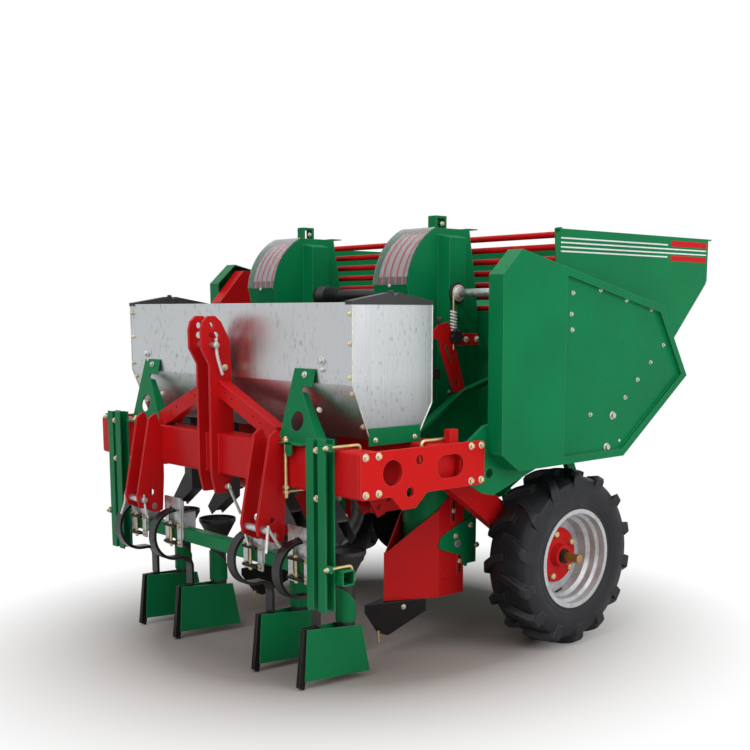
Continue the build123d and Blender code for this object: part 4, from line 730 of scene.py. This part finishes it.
class PLANTER_OT_hitch(PlanterOperator, bpy.types.Operator):
    """Fit pins, handles and welds to the mast and the lower hitch"""

    bl_idname = "planter.hitch"
    bl_label = "Hitch fittings"

    mast_rods = [
        ([(0.078, -0.020, 1.330), (0.078, -0.018, 1.267), (0.074, 0.010, 1.185)], 0.0065),
        ([(-0.066, 0.035, 0.722), (0.072, 0.035, 0.722)], 0.010),
        ([(0.068, 0.033, 0.735), (0.068, 0.045, 0.700), (0.066, 0.090, 0.606)], 0.0065),
    ]
    side_rods = [
        ([(0.538, -0.108, 0.645), (0.538, -0.114, 0.600), (0.550, -0.128, 0.546)], 0.006),
        ([(0.538, -0.106, 0.630), (0.544, -0.070, 0.572), (0.548, -0.046, 0.540)], 0.006),
        ([(0.380, -0.108, 0.648), (0.380, -0.104, 0.590), (0.380, -0.090, 0.545)], 0.005),
    ]
    pin_y, pin_z = -0.108, 0.626

    def execute(self, context):
        weld = context.scene.planter_sizes.weld
        rods, beads = shapes(2)
        add_rods(rods, self.mast_rods)
        for side in SIDES:
            add_rods(rods, self.side_rods, side)
        new_piece("hitch_handles", rods, "white_zinc")
        bolts("mast_bolts", mirrored([(at(0.051, 0.037, 1.212), RIGHT, 0.95)]))
        collars = [(at(0.083, -0.022, 1.304), RIGHT, 1.0), (at(0.5335, self.pin_y, self.pin_z), RIGHT, 0.95),
                   (at(0.3745, self.pin_y, self.pin_z), -RIGHT, 0.95)]
        fasteners("pin_ends", mirrored(collars), "white_zinc", 20, 0.012, 0.004)
        for side in SIDES:
            for x in (0.039, 0.051):
                add_rod(beads, [at(side * x, -0.001, 0.782), at(side * x, -0.001, 0.942)], weld, 8)
            for x in (0.390, 0.402, 0.490, 0.502):
                add_rod(beads, [at(side * x, 0.004, 0.776), at(side * x, 0.096, 0.776)], weld, 8)
        new_piece("weld_beads", beads, "red_paint")
        return {"FINISHED"}


class PLANTER_OT_openers(PlanterOperator, bpy.types.Operator):
    """Fit the openers' clamp bolts, cross plates and tube rings"""

    bl_idname = "planter.openers"
    bl_label = "Opener fittings"

    reach, gap, foot, spring, head, face, sheet = 0.064, 0.034, 0.425, 0.566, 0.640, -0.0076, 0.008
    rod_y = -0.026

    def execute(self, context):
        bridges, rods, plates, rings = shapes(4)
        spots = []
        arch = [(u, self.spring + v) for u, v in round_points(self.gap, 0, 180, 20)]
        outline = [(-self.gap, self.foot), (-self.reach, self.foot), (-self.reach, self.head),
                   (self.reach, self.head), (self.reach, self.foot), (self.gap, self.foot)] + arch
        front = self.face - self.sheet
        for x in OPENERS:
            add_prism(bridges, outline, at(x, self.face, 0), RIGHT, UP, self.sheet)
            add_rod(rods, [at(x, self.rod_y, 0.425), at(x, self.rod_y, 0.535)], 0.006)
            for z in (0.437, 0.512):
                add_box(plates, at(x - 0.046, -0.036, z), at(x + 0.046, front, z + 0.011))
                spots += [(at(x + side * 0.049, front, z + 0.005), -BACK, 0.8) for side in SIDES]
            spots += [(at(x, self.rod_y, 0.523), UP, 0.75), (at(x, self.rod_y, 0.437), -UP, 0.75)]
            add_tube(rings, at(x, 0.215, 0.396), UP, 0.0362, 0.0395, 0.016)
        new_piece("clamp_bridges", bridges, "galvanised")
        new_piece("clamp_rods", rods, "yellow_zinc")
        new_piece("clamp_plates", plates, "black_paint")
        new_piece("tube_rings", rings, "white_zinc")
        fasteners("clamp_nuts", spots, "yellow_zinc", 6, 0.0125, 0.010)
        return {"FINISHED"}


class PLANTER_OT_hopper(PlanterOperator, bpy.types.Operator):
    """Bolt the hopper's corners and brackets, cap its ends and fit the levelling rods"""

    bl_idname = "planter.hopper"
    bl_label = "Hopper fittings"

    brackets = (0.562, -0.562)
    front, rear, end, bolt_line = 0.087, 0.485, 0.797, 0.781
    edges = [(front, 1.173, 0.169), (rear, 1.092, 0.414)]
    slope = Vector((0, -0.203, -0.082))
    gable = [(0.083, 1.462), (0.489, 1.462), (0.489, 1.476), (0.310, 1.506), (0.286, 1.492), (0.262, 1.506),
             (0.083, 1.476)]
    steel = [(0.619, 1.256, 1.25), (-0.658, 1.249, 1.25), (0.626, 1.224, 0.9), (-0.640, 1.222, 0.9)]
    rod_y = -0.013

    def execute(self, context):
        spots = []
        for z in (1.430, 1.322, 1.201):
            spots.append((at(self.bolt_line, self.front, z), -BACK, 0.8))
            spots.append((at(self.bolt_line, self.rear, z), BACK, 0.8))
        for z in (1.140, 1.017):
            y = 0.169 + self.slope.z * (z - 0.970) / -self.slope.y
            spots.append((at(self.bolt_line, y, z), self.slope.normalized(), 0.8))
        bolts("hopper_bolts", mirrored(spots))
        steel = [(at(x, self.front, z), -BACK, size) for x, z, size in self.steel]
        lean = Vector((0, -0.276, 0.065)).normalized()
        for x in self.brackets:
            steel.append((at(x - 0.028, 0.074, 1.202), lean, 0.9))
            steel.append((at(x + 0.060, 0.072, 1.075), Vector((0.88, -0.1, 0.46)), 0.8))
        bolts("hopper_steel_bolts", steel, head="galvanised")
        rods, lips, stems, corners, caps = shapes(5)
        nuts = []
        tongue = [(-0.02, 0.03), (-0.02, 0.0)] + round_points(0.02, 180, 360, 20) + [(0.02, 0.03)]
        for x in self.brackets:
            post = x - 0.037
            add_rod(rods, [at(post, self.rod_y, 0.741), at(post, self.rod_y, 0.972)], 0.007)
            add_rod(rods, [at(post, self.rod_y, 0.764), at(post, 0.120, 0.764)], 0.006)
            add_box(lips, at(x - 0.100, -0.026, 0.9475), at(x + 0.070, 0.022, 0.9535))
            add_prism(lips, tongue, at(x - 0.005, -0.021, 0.923), RIGHT, UP, 0.005)
            nuts += [(at(post, self.rod_y, z), UP, 1.0) for z in (0.954, 0.757, 0.776)]
        for side in SIDES:
            stem, edge = side * self.bolt_line, side * self.end
            add_rod(stems, [at(stem, 0.286, 1.500), at(stem, 0.286, 1.511)], 0.011)
            for y, knee, foot in self.edges:
                points = [at(edge, y, 1.464), at(edge, y, knee), at(edge, foot, 0.972)]
                add_rod(corners, points, 0.0028, 8, 0.004)
            add_upright(caps, self.gable, 0, side, 0.761, 0.040)
        new_piece("hopper_corners", corners, "white_zinc")
        new_piece("levelling_rods", rods, "yellow_zinc")
        new_piece("bracket_lips", lips, "green_paint")
        new_piece("cap_stems", stems, "black_plastic")
        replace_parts(new_piece("cap_gables", caps, "black_plastic"), "hopper_caps")
        fasteners("levelling_nuts", nuts, "yellow_zinc", 6, 0.013, 0.010)
        return {"FINISHED"}


class PLANTER_OT_elevators(PlanterOperator, bpy.types.Operator):
    """Fit belts under the clear hoods, bearings, springs and levers"""

    bl_idname = "planter.elevators"
    bl_label = "Elevator fittings"

    hood = [(0.740, 1.775), (0.632, 1.687), (0.580, 1.545)]
    star = [(r * math.cos(math.radians(15 * k)), r * math.sin(math.radians(15 * k)))
            for k, r in enumerate((0.031, 0.029, 0.021, 0.029) * 6)]
    knob = [(0.006, 1.384), (0.006, 1.396), (0.014, 1.398), (0.014, 1.410), (0.010, 1.414)]
    strap = [(0.800, 1.470), (1.026, 1.242), (1.026, 1.205), (0.800, 1.433)]
    brace = [(0.500, 0.960), (0.774, 1.118), (0.992, 1.178)]
    angle_bar = [(0, 0), (0.032, 0), (0.032, 0.004), (0.004, 0.004), (0.004, 0.032), (0, 0.032)]
    shaft = (0.805, 1.512)
    channel, lever = 0.159, 0.218

    def arc(self, inset, first, last, steps=18):
        """Points along the hood's bend, set in from it, from its back edge to its foot."""
        (ay, az), (by, bz), (cy, cz) = self.hood
        d = 2 * (ay * (bz - cz) + by * (cz - az) + cy * (az - bz))
        sa, sb, sc = ay * ay + az * az, by * by + bz * bz, cy * cy + cz * cz
        uy = (sa * (bz - cz) + sb * (cz - az) + sc * (az - bz)) / d
        uz = (sa * (cy - by) + sb * (ay - cy) + sc * (by - ay)) / d
        radius = math.hypot(ay - uy, az - uz) - inset
        start, end = math.atan2(az - uz, ay - uy), math.atan2(cz - uz, cy - uy)
        if end < start:
            end += 2 * math.pi
        points = []
        for k in range(steps + 1):
            angle = start + (end - start) * (first + (last - first) * k / steps)
            points.append((uy + radius * math.cos(angle), uz + radius * math.sin(angle)))
        return points

    def band(self, bm, x, half, inset, first, last):
        """Strip that follows the hood's bend inside it."""
        thick = 0.003
        outline = self.arc(inset, first, last) + self.arc(inset + thick, first, last)[::-1]
        add_prism(bm, outline, at(x - half, 0, 0), BACK, UP, 2 * half)

    def execute(self, context):
        faces, stripes, fringe, rings, cores, lips, knobs, rods, braces = shapes(9)
        spots, screws = [], []
        for x in ROWS:
            self.band(faces, x, 0.092, 0.020, 0.02, 0.98)
            for shift in (-0.06, -0.02, 0.02, 0.06):
                self.band(stripes, x + shift, 0.0035, 0.0125, 0.03, 0.995)
            self.band(fringe, x, 0.094, 0.016, 0.88, 1.0)
            screws.append((at(x, 0.580, 1.540), -BACK, 0.7))
            add_box(lips, at(x - 0.103, 0.925, 1.7755), at(x + 0.103, 0.985, 1.7795))
            for side in SIDES:
                face = x + side * self.channel
                way = RIGHT * side
                add_tube(rings, at(face, *self.shaft), way, 0.033, 0.044, 0.010)
                add_tube(cores, at(face, *self.shaft), way, 0.0172, 0.034, 0.016)
                add_tube(cores, at(face + side * 0.016, *self.shaft), way, 0.0172, 0.025, 0.010)
                spots.append((at(face + side * 0.021, 0.805, 1.5365), UP, 0.5))
                spots.append((at(x + side * 0.0235, 0.852, 1.800), way, 0.7))
                spots += [(at(x + side * 0.157, y, 1.110), way, 0.6) for y in (0.768, 0.850)]
            self.lever_side(x, rods, knobs, braces, spots)
        for end in SIDES:
            for k in range(6):
                place = at(end * (0.150 + 0.014 * k), *self.shaft)
                add_tube(knobs, place, RIGHT, 0.0252, 0.031 + 0.0022 * k, 0.007)
        new_piece("belt_faces", faces, "belt_rubber")
        new_piece("belt_stripes", stripes, "belt_red")
        new_piece("hood_fringes", fringe, "black_plastic")
        new_piece("bearing_rings", rings, "black_plastic")
        new_piece("bearing_cores", cores, "white_zinc")
        new_piece("roof_lips", lips, "green_paint")
        new_piece("lever_rods", rods, "yellow_zinc")
        new_piece("knobs", knobs, "black_plastic")
        new_piece("braces", braces, "green_paint")
        bolts("elevator_bolts", spots)
        fasteners("hood_screws", screws, "white_zinc", 16, 0.010, 0.006)
        self.springs(context.scene.planter_sizes.turns)
        return {"FINISHED"}

    def lever_side(self, x, rods, knobs, braces, spots):
        """Rod, knobs, bolts and braces by the agitator's lever, on the row's outer side."""
        out = math.copysign(1, x)
        lever, face, near = x + out * self.lever, x + out * self.channel, x + out * 0.205
        add_rod(rods, [at(lever, 0.729, 1.500), at(lever, 0.731, 1.285)], 0.0045)
        add_upright(knobs, self.star, lever, out, 0.004, 0.022, (0.733, 1.336))
        add_lathe(knobs, self.knob, at(lever - out * 0.004, 0.652, 0), UP, 16)
        add_upright(braces, self.strap, x, out, self.channel, 0.004)
        spots.append((at(lever, 0.866, 1.325), RIGHT * out, 0.9))
        spots.append((at(lever + out * 0.008, 0.795, 1.324), RIGHT * out, 0.9))
        for low, high in zip(self.brace, self.brace[1:]):
            start = at(near, *low)
            along = at(near, *high) - start
            add_prism(braces, self.angle_bar, start, RIGHT, along.normalized().cross(RIGHT), along.length)
        add_box(knobs, at(face - 0.012, 0.656, 1.165), at(face + 0.012, 0.704, 1.207))

    def springs(self, turns):
        """Coil round each lever's rod."""
        for label, x in zip(("left", "right"), ROWS):
            values = {"Turns": turns, "Radius": 0.0125, "Wire": 0.0030, "Height": 0.080}
            coil = grown("Coil", bpy.data.meshes.new("empty"), "line_white", values)
            coil.transform(Matrix.Translation(at(x + math.copysign(self.lever, x), 0.7300, 1.360)))
            new_piece(f"lever_spring_{label}", coil, "line_white", sharp=60.0)


class PLANTER_OT_rows(PlanterOperator, bpy.types.Operator):
    """Bolt the seed boots and shares"""

    bl_idname = "planter.rows"
    bl_label = "Row fittings"

    bolts_at = [(0.861, 0.481), (0.951, 0.518), (0.992, 0.426), (0.905, 0.620)]
    slots_at = [(0.848, 0.547, 0.640), (0.888, 0.320, 0.414)]
    tab, slot, link = (0.109, 0.113), (0.1125, 0.1134), 0.115
    tab_margin, tab_half, slot_half = 0.016, 0.017, 0.0065

    def execute(self, context):
        slots, studs, tabs = shapes(3)
        spots, holes = [], []
        for x in ROWS:
            for side in SIDES:
                way = RIGHT * side
                spots += [(at(x + side * self.link, y, z), way, 0.9) for y, z in self.bolts_at]
                for y, low, high in self.slots_at:
                    add_pad(tabs, x, side, self.tab, (y - self.tab_half, low - self.tab_margin),
                            (y + self.tab_half, high + self.tab_margin))
                    add_pad(slots, x, side, self.slot, (y - self.slot_half, low), (y + self.slot_half, high))
                    spots.append((at(x + side * self.slot[1], y, (low + high) / 2), way, 0.8))
                holes += [(at(x + side * self.tab[0], 0.800, 0.300 + 0.045 * k), way, 1.0) for k in range(6)]
                spots.append((at(x + side * 0.0535, 0.613, 0.199), Vector((0.955 * side, -0.295, 0.0)), 0.8))
            add_rod(studs, [at(x, 0.520, 0.100), at(x, 0.520, 0.052)], 0.007)
        bolts("row_bolts", spots)
        new_piece("boot_tabs", tabs, "red_paint")
        # Painted shade: dark pads laid where the boots' slots are.
        new_piece("boot_slots", slots, "hole_dark")
        new_piece("share_studs", studs, "yellow_zinc")
        # Painted shade: thin dark discs laid where the boots' holes are.
        fasteners("boot_holes", holes, "hole_dark", 12, 0.0035, 0.0004)
        return {"FINISHED"}


class PLANTER_OT_bin_trim(PlanterOperator, bpy.types.Operator):
    """Paint the bin's lines and blocks, and fold its edges"""

    bl_idname = "planter.bin_trim"
    bl_label = "Bin trim"

    lines = [(1.732, 1.091, 1.835), (1.714, 1.091, 2.145), (1.696, 1.091, 2.145), (1.679, 1.091, 1.835)]
    blocks = [(1.726, 1.752), (1.661, 1.686)]
    block_start, block_end = 1.860, 2.145
    fold = [(0, 0), (0, 0.95), (-0.004, 0.95), (-0.004, 0)]
    fold_width, paint_gap = 0.022, 0.0002

    def execute(self, context):
        sizes = context.scene.planter_sizes
        white, red, folds = shapes(3)
        face = BIN_FACE + self.paint_gap
        span, half = (face, face + sizes.coat), sizes.line / 2
        slope = Vector((0, 0.726, 0.748)).normalized()
        for side in SIDES:
            for z, start, end in self.lines:
                add_pad(white, 0, side, span, (start, z - half), (end, z + half))
            for bottom, top in self.blocks:
                add_pad(red, 0, side, span, (self.block_start, bottom), (self.block_end, top))
            low, high = sorted((side * BIN_FACE, side * (BIN_FACE + self.fold_width)))
            add_prism(folds, self.fold, at(low, 1.490, 0.8877), RIGHT.cross(slope), slope, high - low)
            add_rod(folds, [at(low, 1.064, 1.764), at(high, 1.064, 1.764)], 0.0085)
        new_piece("bin_lines", white, "line_white")
        new_piece("bin_blocks", red, "red_paint")
        new_piece("bin_folds", folds, "green_paint")
        return {"FINISHED"}


class PLANTER_OT_covers(PlanterOperator, bpy.types.Operator):
    """Bolt the side covers"""

    bl_idname = "planter.covers"
    bl_label = "Cover bolts"

    small = [(1.074, 1.511), (1.066, 1.427), (1.074, 1.364), (1.252, 1.525), (1.431, 1.485), (1.612, 1.446),
             (1.712, 1.291), (1.620, 1.217), (1.529, 1.145), (1.444, 1.072), (1.207, 1.013)]
    large = [(1.357, 1.000), (1.322, 0.868)]
    screws = [(1.411, 0.889), (1.476, 0.880), (1.421, 0.850)]
    sunk, shift = 0.016, 0.014

    def spots(self, places, size):
        """Spots on both covers' panels, which lie sunk in their rims."""
        face = COVER_FACE - self.sunk
        return mirrored([(at(face, y + self.shift, z), RIGHT, size) for y, z in places])

    def execute(self, context):
        bolts("cover_bolts", self.spots(self.small, 0.7), "galvanised")
        bolts("cover_large", self.spots(self.large, 1.25), "galvanised")
        fasteners("cover_screws", self.spots(self.screws, 1.0), "white_zinc", 14, 0.0065, 0.004)
        return {"FINISHED"}


class PLANTER_OT_wheels(PlanterOperator, bpy.types.Operator):
    """Make the tyres with bent lugs, and fit hub bolts, collars and valves"""

    bl_idname = "planter.wheels"
    bl_label = "Wheels"

    # Half of the tyre's section as (radius, across), from the bead to the middle of the tread
    section = [(0.207, 0.086), (0.213, 0.095), (0.221, 0.0985), (0.224, 0.0965), (0.230, 0.0985),
               (0.242, 0.1040), (0.245, 0.1020), (0.250, 0.1040), (0.262, 0.107), (0.292, 0.108),
               (0.318, 0.106), (0.338, 0.099), (0.350, 0.084), (0.3555, 0.060), (0.358, 0.028), (0.3585, 0.0)]
    # Stations of a lug as (across, angle round, width, radius); the last three lie on the side wall
    lug = [(-0.010, 0.125, 0.033, 0.3826), (0.016, 0.108, 0.032, 0.3834), (0.042, 0.080, 0.034, 0.3826),
           (0.068, 0.040, 0.038, 0.3800), (0.090, -0.006, 0.043, 0.3755), (0.103, -0.038, 0.049, 0.3695),
           (0.1095, -0.056, 0.052, 0.3595), (0.1095, -0.070, 0.052, 0.3320), (0.1090, -0.077, 0.047, 0.2990)]
    # Outline of a lug across its length as (spread, share of its height, sunk into the side wall)
    ridge = [(-1.25, 0.0, 1), (-1.0, 0.86, 0), (-0.86, 1.0, 0), (0.86, 1.0, 0), (1.0, 0.86, 0),
             (1.25, 0.0, 1)]
    shoulder, tread_radius = 6, 0.38

    def lug_mesh(self, side):
        """One lug, from the middle of the tread over the shoulder, standing at the top of the tyre."""
        bm = bmesh.new()
        rings = []
        for i, (x, bend, width, radius) in enumerate(self.lug):
            on_tread = i < self.shoulder
            foot = radius - (0.034 if on_tread else 0.020)
            inward = 0.0 if on_tread else 0.014 + 0.004 * (i - self.shoulder)
            half = width / 2 / self.tread_radius
            ring = []
            for spread, share, sunk in self.ridge:
                angle = bend + spread * half
                r = foot + (radius - foot) * share
                place = (side * (x - inward * sunk), math.sin(angle) * r, math.cos(angle) * r)
                ring.append(bm.verts.new(place))
            rings.append(ring)
        join_rings(bm, rings)
        bmesh.ops.recalc_face_normals(bm, faces=bm.faces)
        mesh = bpy.data.meshes.new("lug")
        bm.to_mesh(mesh)
        bm.free()
        return mesh

    def tyre(self, centre, lugs):
        """Carcass with the lugs of both halves, half a step apart."""
        bm = bmesh.new()
        profile = self.section + [(r, -x) for r, x in self.section[-2::-1]]
        add_lathe(bm, profile, Vector(), RIGHT, 96, closed=True)
        for way, start in ((1, 0.0), (-1, 0.5)):
            bm.from_mesh(grown("Ring About X", self.lug_mesh(way), "tyre", {"Count": lugs, "Start": start}))
        bmesh.ops.translate(bm, verts=bm.verts, vec=centre)
        return bm

    def execute(self, context):
        for label, side in zip(("left", "right"), SIDES):
            body = f"wheel_{label}"
            low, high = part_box(f"tyre_{label}")
            centre = (low + high) / 2
            shape = self.tyre(centre, context.scene.planter_sizes.lugs)
            tyre = new_piece(f"lugged_tyre_{label}", shape, "tyre", body, sharp=32.0)
            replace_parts(tyre, f"tyre_{label}")
            self.hub(label, body, centre, RIGHT * side)
        return {"FINISHED"}

    def hub(self, label, body, centre, out):
        """Five hub bolts, a collar, a valve, and the sleeve that stays on the axle."""
        bolt_circle, bolt_face = 0.097, centre - out * 0.0108
        spots = []
        for k in range(5):
            angle = math.radians(31 + 72 * k)
            spoke = Vector((0, math.cos(angle), math.sin(angle)))
            spots.append((bolt_face + spoke * bolt_circle, out, 1.3))
        fasteners(f"hub_bolts_{label}", spots, "yellow_zinc", 6, 0.0115, 0.012, body=body)
        collar, end, valve = shapes(3)
        add_tube(collar, centre + out * 0.0262, out, 0.0188, 0.031, 0.011, 24)
        add_tube(end, centre + out * 0.0385, out, 0.0181, 0.0190, 0.0735, 24)
        add_lathe(end, [(0.0190, 0.1121), (0.0190, 0.1140), (0.0150, 0.1150)], centre, out, 28)
        new_piece(f"hub_collar_{label}", collar, "black_paint", body)
        new_piece(f"axle_sleeve_{label}", end, "brass_end")
        add_rod(valve, [centre + out * 0.004 + Vector((0, -0.022, -0.163)),
                        centre + out * 0.034 + Vector((0, -0.018, -0.140))], 0.0045)
        new_piece(f"valve_{label}", valve, "black_plastic", body)


class PLANTER_OT_stage(PlanterOperator, bpy.types.Operator):
    """Lay the pale floor and set the lamps and the camera"""

    bl_idname = "planter.stage"
    bl_label = "Stage"

    lamps = [("key", (1.6, -4.2, 4.6), 3.2), ("fill", (4.6, 0.2, 2.6), 3.0), ("top", (0.0, 0.4, 4.8), 3.5)]
    lit_point = Vector((0, 0, 0.8))
    floor_reach = 30.0

    def execute(self, context):
        stage = context.scene.planter_stage
        self.floor(context)
        self.world(context, stage.sky)
        for name, place, size in self.lamps:
            lamp = bpy.data.lights.new(name, "AREA")
            lamp.energy = getattr(stage, name)
            lamp.size = size
            holder = bpy.data.objects.new(name, lamp)
            holder.location = place
            holder.rotation_euler = (self.lit_point - Vector(place)).to_track_quat("-Z", "Y").to_euler()
            context.collection.objects.link(holder)
        camera = bpy.data.cameras.new("camera")
        camera.lens, camera.sensor_width = stage.lens, 36.0
        camera.shift_x, camera.shift_y = stage.shift_x, stage.shift_y
        eye = bpy.data.objects.new("camera", camera)
        eye.location = stage.camera
        eye.rotation_euler = (math.radians(stage.tilt), 0, math.radians(stage.turn))
        context.collection.objects.link(eye)
        context.scene.camera = eye
        context.scene.view_settings.view_transform = "Standard"
        return {"FINISHED"}

    def floor(self, context):
        """Wide floor with a painted shadow, a darker warm grey under the machine, growing paler and then
        white further out.
        """
        painted_shadow_tone, far_tone = (0.38, 0.34, 0.32, 1), (0.86, 0.85, 0.84, 1)
        far = self.floor_reach
        mesh = bpy.data.meshes.new("floor")
        mesh.from_pydata([(-far, -far, 0), (far, -far, 0), (far, far, 0), (-far, far, 0)], [], [(0, 1, 2, 3)])
        material = bpy.data.materials.new("floor")
        material.use_nodes = True
        tree = material.node_tree
        shader = tree.nodes["Principled BSDF"]
        shader.inputs["Roughness"].default_value = 0.9
        shader.inputs["Specular IOR Level"].default_value = 0.1
        place = add_node(tree, "ShaderNodeTexCoord").outputs["Object"]
        oval = mapped(tree, place, (1.0, 0.88, 1.0), (-0.05, 0.26, 0.0))
        away = add_node(tree, "ShaderNodeVectorMath", {0: oval}, operation="LENGTH").outputs["Value"]
        fade = remap(tree, away, 0.80, 1.75, 0.0, 1.0)
        # Painted shadow: the floor's colour darkens to a warm grey under the machine, besides the shadow the
        # lamps cast.
        ground = blend(tree, remap(tree, away, 0.7, 2.2, 0.0, 1.0), painted_shadow_tone, far_tone)
        tree.links.new(ground, shader.inputs["Base Color"])
        white = add_node(tree, "ShaderNodeEmission", {"Color": WHITE, "Strength": 1.0})
        share = maths(tree, "MULTIPLY", fade, seen_rays(tree))
        mixed = add_node(tree, "ShaderNodeMixShader", {0: share, 1: shader.outputs[0], 2: white.outputs[0]})
        tree.links.new(mixed.outputs[0], tree.nodes["Material Output"].inputs["Surface"])
        mesh.materials.append(material)
        floor = bpy.data.objects.new("floor", mesh)
        context.collection.objects.link(floor)

    def world(self, context, sky):
        """Even light; white where it is seen directly, in metal or through the clear sheet."""
        world = bpy.data.worlds.new("world")
        world.use_nodes = True
        context.scene.world = world
        tree = world.node_tree
        back = tree.nodes["Background"]
        back.inputs["Color"].default_value = WHITE
        tree.links.new(remap(tree, seen_rays(tree), 0.0, 1.0, sky, 1.0), back.inputs["Strength"])


class PLANTER_PT_panel(bpy.types.Panel):
    """Lists the planter's operators."""

    bl_idname = "PLANTER_PT_panel"
    bl_label = "Planter"
    bl_space_type = "VIEW_3D"
    bl_region_type = "UI"
    bl_category = "Planter"

    def draw(self, context):
        for operator in OPERATORS:
            self.layout.operator(operator.bl_idname)


OPERATORS = (
    PLANTER_OT_finishes, PLANTER_OT_frame_bolts, PLANTER_OT_hitch, PLANTER_OT_openers, PLANTER_OT_hopper,
    PLANTER_OT_elevators, PLANTER_OT_rows, PLANTER_OT_bin_trim, PLANTER_OT_covers, PLANTER_OT_wheels,
    PLANTER_OT_stage,
)
CLASSES = (PlanterFinishes, PlanterSizes, PlanterStage, *OPERATORS, PLANTER_PT_panel)
GROUPS = {"planter_finishes": PlanterFinishes, "planter_sizes": PlanterSizes, "planter_stage": PlanterStage}


def register():
    for item in CLASSES:
        bpy.utils.register_class(item)
    for name, group in GROUPS.items():
        setattr(bpy.types.Scene, name, bpy.props.PointerProperty(type=group))


def unregister():
    for name in GROUPS:
        delattr(bpy.types.Scene, name)
    for item in reversed(CLASSES):
        bpy.utils.unregister_class(item)


def main():
    register()
    bpy.ops.planter.finishes()
    bpy.ops.planter.frame_bolts()
    bpy.ops.planter.hitch()
    bpy.ops.planter.openers()
    bpy.ops.planter.hopper()
    bpy.ops.planter.elevators()
    bpy.ops.planter.rows()
    bpy.ops.planter.bin_trim()
    bpy.ops.planter.covers()
    bpy.ops.planter.wheels()
    bpy.ops.planter.stage()


if __name__ == "__main__":
    main()
